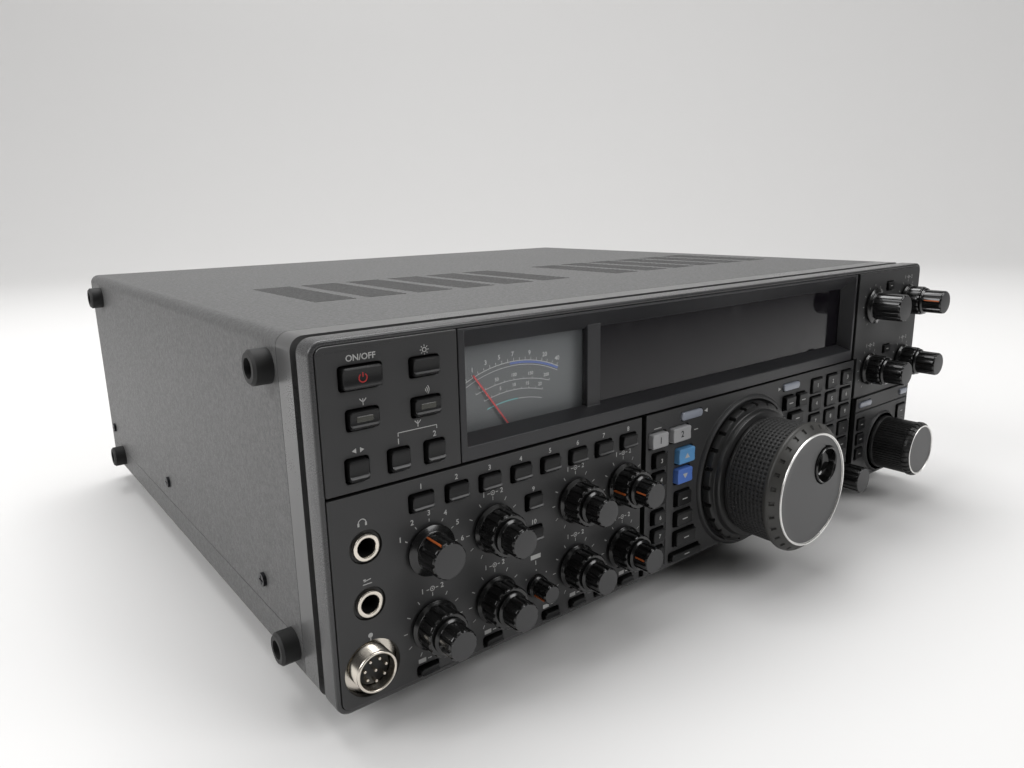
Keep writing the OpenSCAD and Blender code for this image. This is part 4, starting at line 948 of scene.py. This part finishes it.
full_turns = np.arange(-150, 151, 30)
panel_print = [digits("ON/OFF", 17.3, 125.3, 2.1)]
sun = np.array((41.0, 124.6))
panel_print += [ring_print(sun, 0.75)] + ray_marks(sun, np.arange(0, 360, 45), 1.2, 1.75)
panel_print += aerial(17.1, 110.6) + aerial(37.1, 99.4)
panel_print += [arc_print((40.2, 110.6), radius, (45, 135), line_w, print_out, 12)
                for radius in (0.6, 1.3, 2.0)]
panel_print += [arrow((12.75, 94.7), 1.5, 0.9, -1), arrow((15.65, 94.7), 1.5, 0.9, 1)]
panel_print += line((29.2, 96.2), (29.2, 97.5), (44.6, 97.5), (44.6, 96.2), width=0.28)
panel_print += [digits(1, 29.2, 94.4), digits(2, 43.6, 94.4)]
panel_print += [digits(count + 1, 37 + 15 * count, 76.3) for count in range(8)]
panel_print += [digits(9, 88.1, 62.3), digits(10, 88.1, 48.3)]
headphones = [arc_print((13.8, 69.3), 1.4, (-95, 95), line_w, print_out, 25)]
headphones += [bar((x, 68.8), 0.7, 1.2) for x in (12.4, 15.2)]
morse_key = [bar((14.2, 46.9), 3.4, line_w), bar((13.2, 48.6), 0.9, 0.5)] + line((12.9, 48.0), (15.6, 48.5))
microphone = [ring_print((14.0, 27.4), 0.45, 0.9)] + line((14.0, 25.4), (14.0, 27.0), width=0.34)
panel_print += headphones + morse_key + microphone
selector_turns = np.arange(-60, 91, 30)
panel_print += ray_marks(spots["meter_selector"], selector_turns, 10.6, 11.7)
panel_print += [digits(count + 1, *spot)
                for count, spot in enumerate(spots["meter_selector"] + 13.9 * ray_at(selector_turns))]
for name in pointer_turns:
    panel_print += ray_marks(spots[name + "_inner"], full_turns, 11.2, 12.7)
    panel_print += double_sign(spots[name + "_inner"], 14.2)
panel_print += ray_marks(spots["contour"], full_turns, 11.6, 12.8)
panel_print += [dot(spot) for spot in spots["squelch"] + 7 * ray_at(np.arange(-150, 151, 50))]
panel_print += [bar((88.8, 33.0), 5.2, 1.9), digits(1, 88.8, 30.2, 1.9)]
slim_row, slim_sign = 10, 9.0
for x, z, out in key_spots("left_keys"):
    if z < slim_row:
        panel_print += [bar((x - 2.4, slim_sign), 3.2, 1.7), bar((x + 0.8, slim_sign), 1.6, 0.4)]
panel_print += [arrow((195.8, 74.8), 2.4, 1.0, -1), arrow((257.8, 74.8), 2.4, 1.0, 1)]
panel_print += [bar((161.4, 72.6), 5.0, 0.4), bar((188.8, 66.8), 3.0, 0.4)]
panel_ink = ink("panel_ink", (0.5, 0.5, 0.49, 1))
put("panel_print", panel_print, [panel_ink], "case", solid=False)

figure_sink, dash_sink, power_sink, power_w = 0.1, 0.14, 0.41, 0.42
x, z, out = key_spots("power_button")[0]
power_sign = [arc_print((x, z - 0.1), 1.4, (35, 325), power_w, out - power_sink, 32),
              stroke((x, z + 0.2), (x, z + 1.7), power_w, out - power_sink)]
power_ink = ink("power_ink", (0.42, 0.02, 0.02, 1))
put("power_sign", power_sign, [power_ink], "power_button", solid=False)

number_dx, number_dz = 16, 10.3
number_print, number_spots = [], key_spots("number_keys")
first_x = min(x for x, z, out in number_spots)
first_z = max(z for x, z, out in number_spots if x < first_x + 1)
for x, z, out in number_spots:
    column, row = round((x - first_x) / number_dx), round((first_z - z) / number_dz)
    if column < 3 and 0 <= row < 4:
        number_print.append(figures("123456789.0-"[column + 3 * row], (x, z), 2.3, out - figure_sink))
    else:
        number_print.append(bar((x, z), 2.6, 0.4, out - dash_sink))
put("number_print", number_print, [panel_ink], "number_keys", solid=False)

mode_spots = key_spots("mode_keys")
pale_spots = sorted(spot for spot in mode_spots if mode_colour(spot))
dark_spots = sorted((spot for spot in mode_spots if not mode_colour(spot)), key=lambda spot: -spot[1])
pale_print = [figures(str(count + 1), (x, z), 3.0, out - figure_sink)
              for count, (x, z, out) in enumerate(pale_spots)]
dark_print = [figures(str(count + 3), (x, z), digit_h, out - figure_sink)
              for count, (x, z, out) in enumerate(dark_spots)]
put("mode_print", dark_print, [panel_ink], "mode_keys", solid=False)
dark_ink = ink("dark_ink", (0.02, 0.02, 0.022, 1))
put("mode_print_dark", pale_print, [dark_ink], "mode_keys", solid=False)

dial_print = []
for x, z, out in key_spots("dial_keys"):
    if dial_colour((x, z)):
        way = 2 * dial_colour((x, z)) - 3
        triangle = np.array([(-1.8, -1.1), (1.8, -1.1), (0, 1.3)]) * way
        dial_print.append(plate(triangle + (x, z), out - figure_sink))
    else:
        dial_print.append(bar((x, z), 3.6, 0.5, out - dash_sink))
put("dial_print", dial_print, [panel_ink], "dial_keys", solid=False)

# Feet and bumpers
# Soft black rubber mouldings: four feet under the bottom cover, and four bumpers on the left side for
# standing the set on end.
dress(moulded("foot_rubber", grey(0.012), 0.68, grain=0.5, depth=0.02), "rubber_feet")

# Screws
# Cross-head steel screws with a black oxide finish. They go through the covers' sides and hold the covers
# to the rails.
dress(plated("screw_black", (0.05, 0.05, 0.055, 1), 0.36), "cover_screws")

# Back
# A painted steel plate that closes the back, with plated and moulded sockets in its holes. A cooling fan in
# a black frame sits behind its slits.
dress(baked_paint("rear_paint", grey(0.03), 0.55), "rear_panel")
brass = plated("brass", (0.78, 0.56, 0.27, 1), 0.3)
socket_black = moulded("socket_black", grey(0.012), 0.42, grain=0.4, depth=0.008)
socket_lows, socket_highs = (np.array(ends) for ends in zip(*solids("rear_sockets")))
pin_max, insert_max, inlet_min = 2, 12.9, 28


def socket_finish(face):
    """Finish of a face by the smallest solid round it: 2 for thin pins, 1 for the mains inlet and for the
    round inserts inside the shells, and 0 for the plated shells."""
    middle = np.array(face.calc_center_median())
    sizes = (socket_highs - socket_lows) / MM
    inside = ((socket_lows < middle + 1e-5) & (middle < socket_highs + 1e-5)).all(1)
    width, _, height = sizes[np.where(inside, sizes.prod(1), np.inf).argmin()]
    insert = abs(width - height) < 0.1 and width < insert_max
    return 2 if width < pin_max else int(insert or width > inlet_min)


softened("rear_socket_set", "rear_sockets", [nickel, socket_black, brass], 0.15, socket_finish)
dress(moulded("fan_plastic", grey(0.014), 0.5), "fan_frame", "fan_rotor")

# Inner parts
# Boards with green solder resist, plated control bodies on them, an extruded aluminium heat sink and a
# supply in a zinc plated box. The chassis carries them all.
dress(moulded("board_green", (0.012, 0.075, 0.035, 1), 0.4, grain=1.5, depth=0.02), "circuit_boards")
dress(plated("control_metal", (0.62, 0.61, 0.58, 1), 0.35), "control_pots")
dress(plated("sink_metal", (0.78, 0.79, 0.8, 1), 0.4), "heat_sink")
dress(plated("box_steel", (0.6, 0.61, 0.62, 1), 0.42), "power_supply")

# Size
# The corners of the boxes of everything that is drawn, gathered in one array.
drawn = [np.array([piece.matrix_world @ type(piece.location)(corner) for corner in piece.bound_box])
         for piece in bpy.context.scene.objects if piece.type == "MESH" and piece is not floor]
drawn = np.concatenate(drawn)
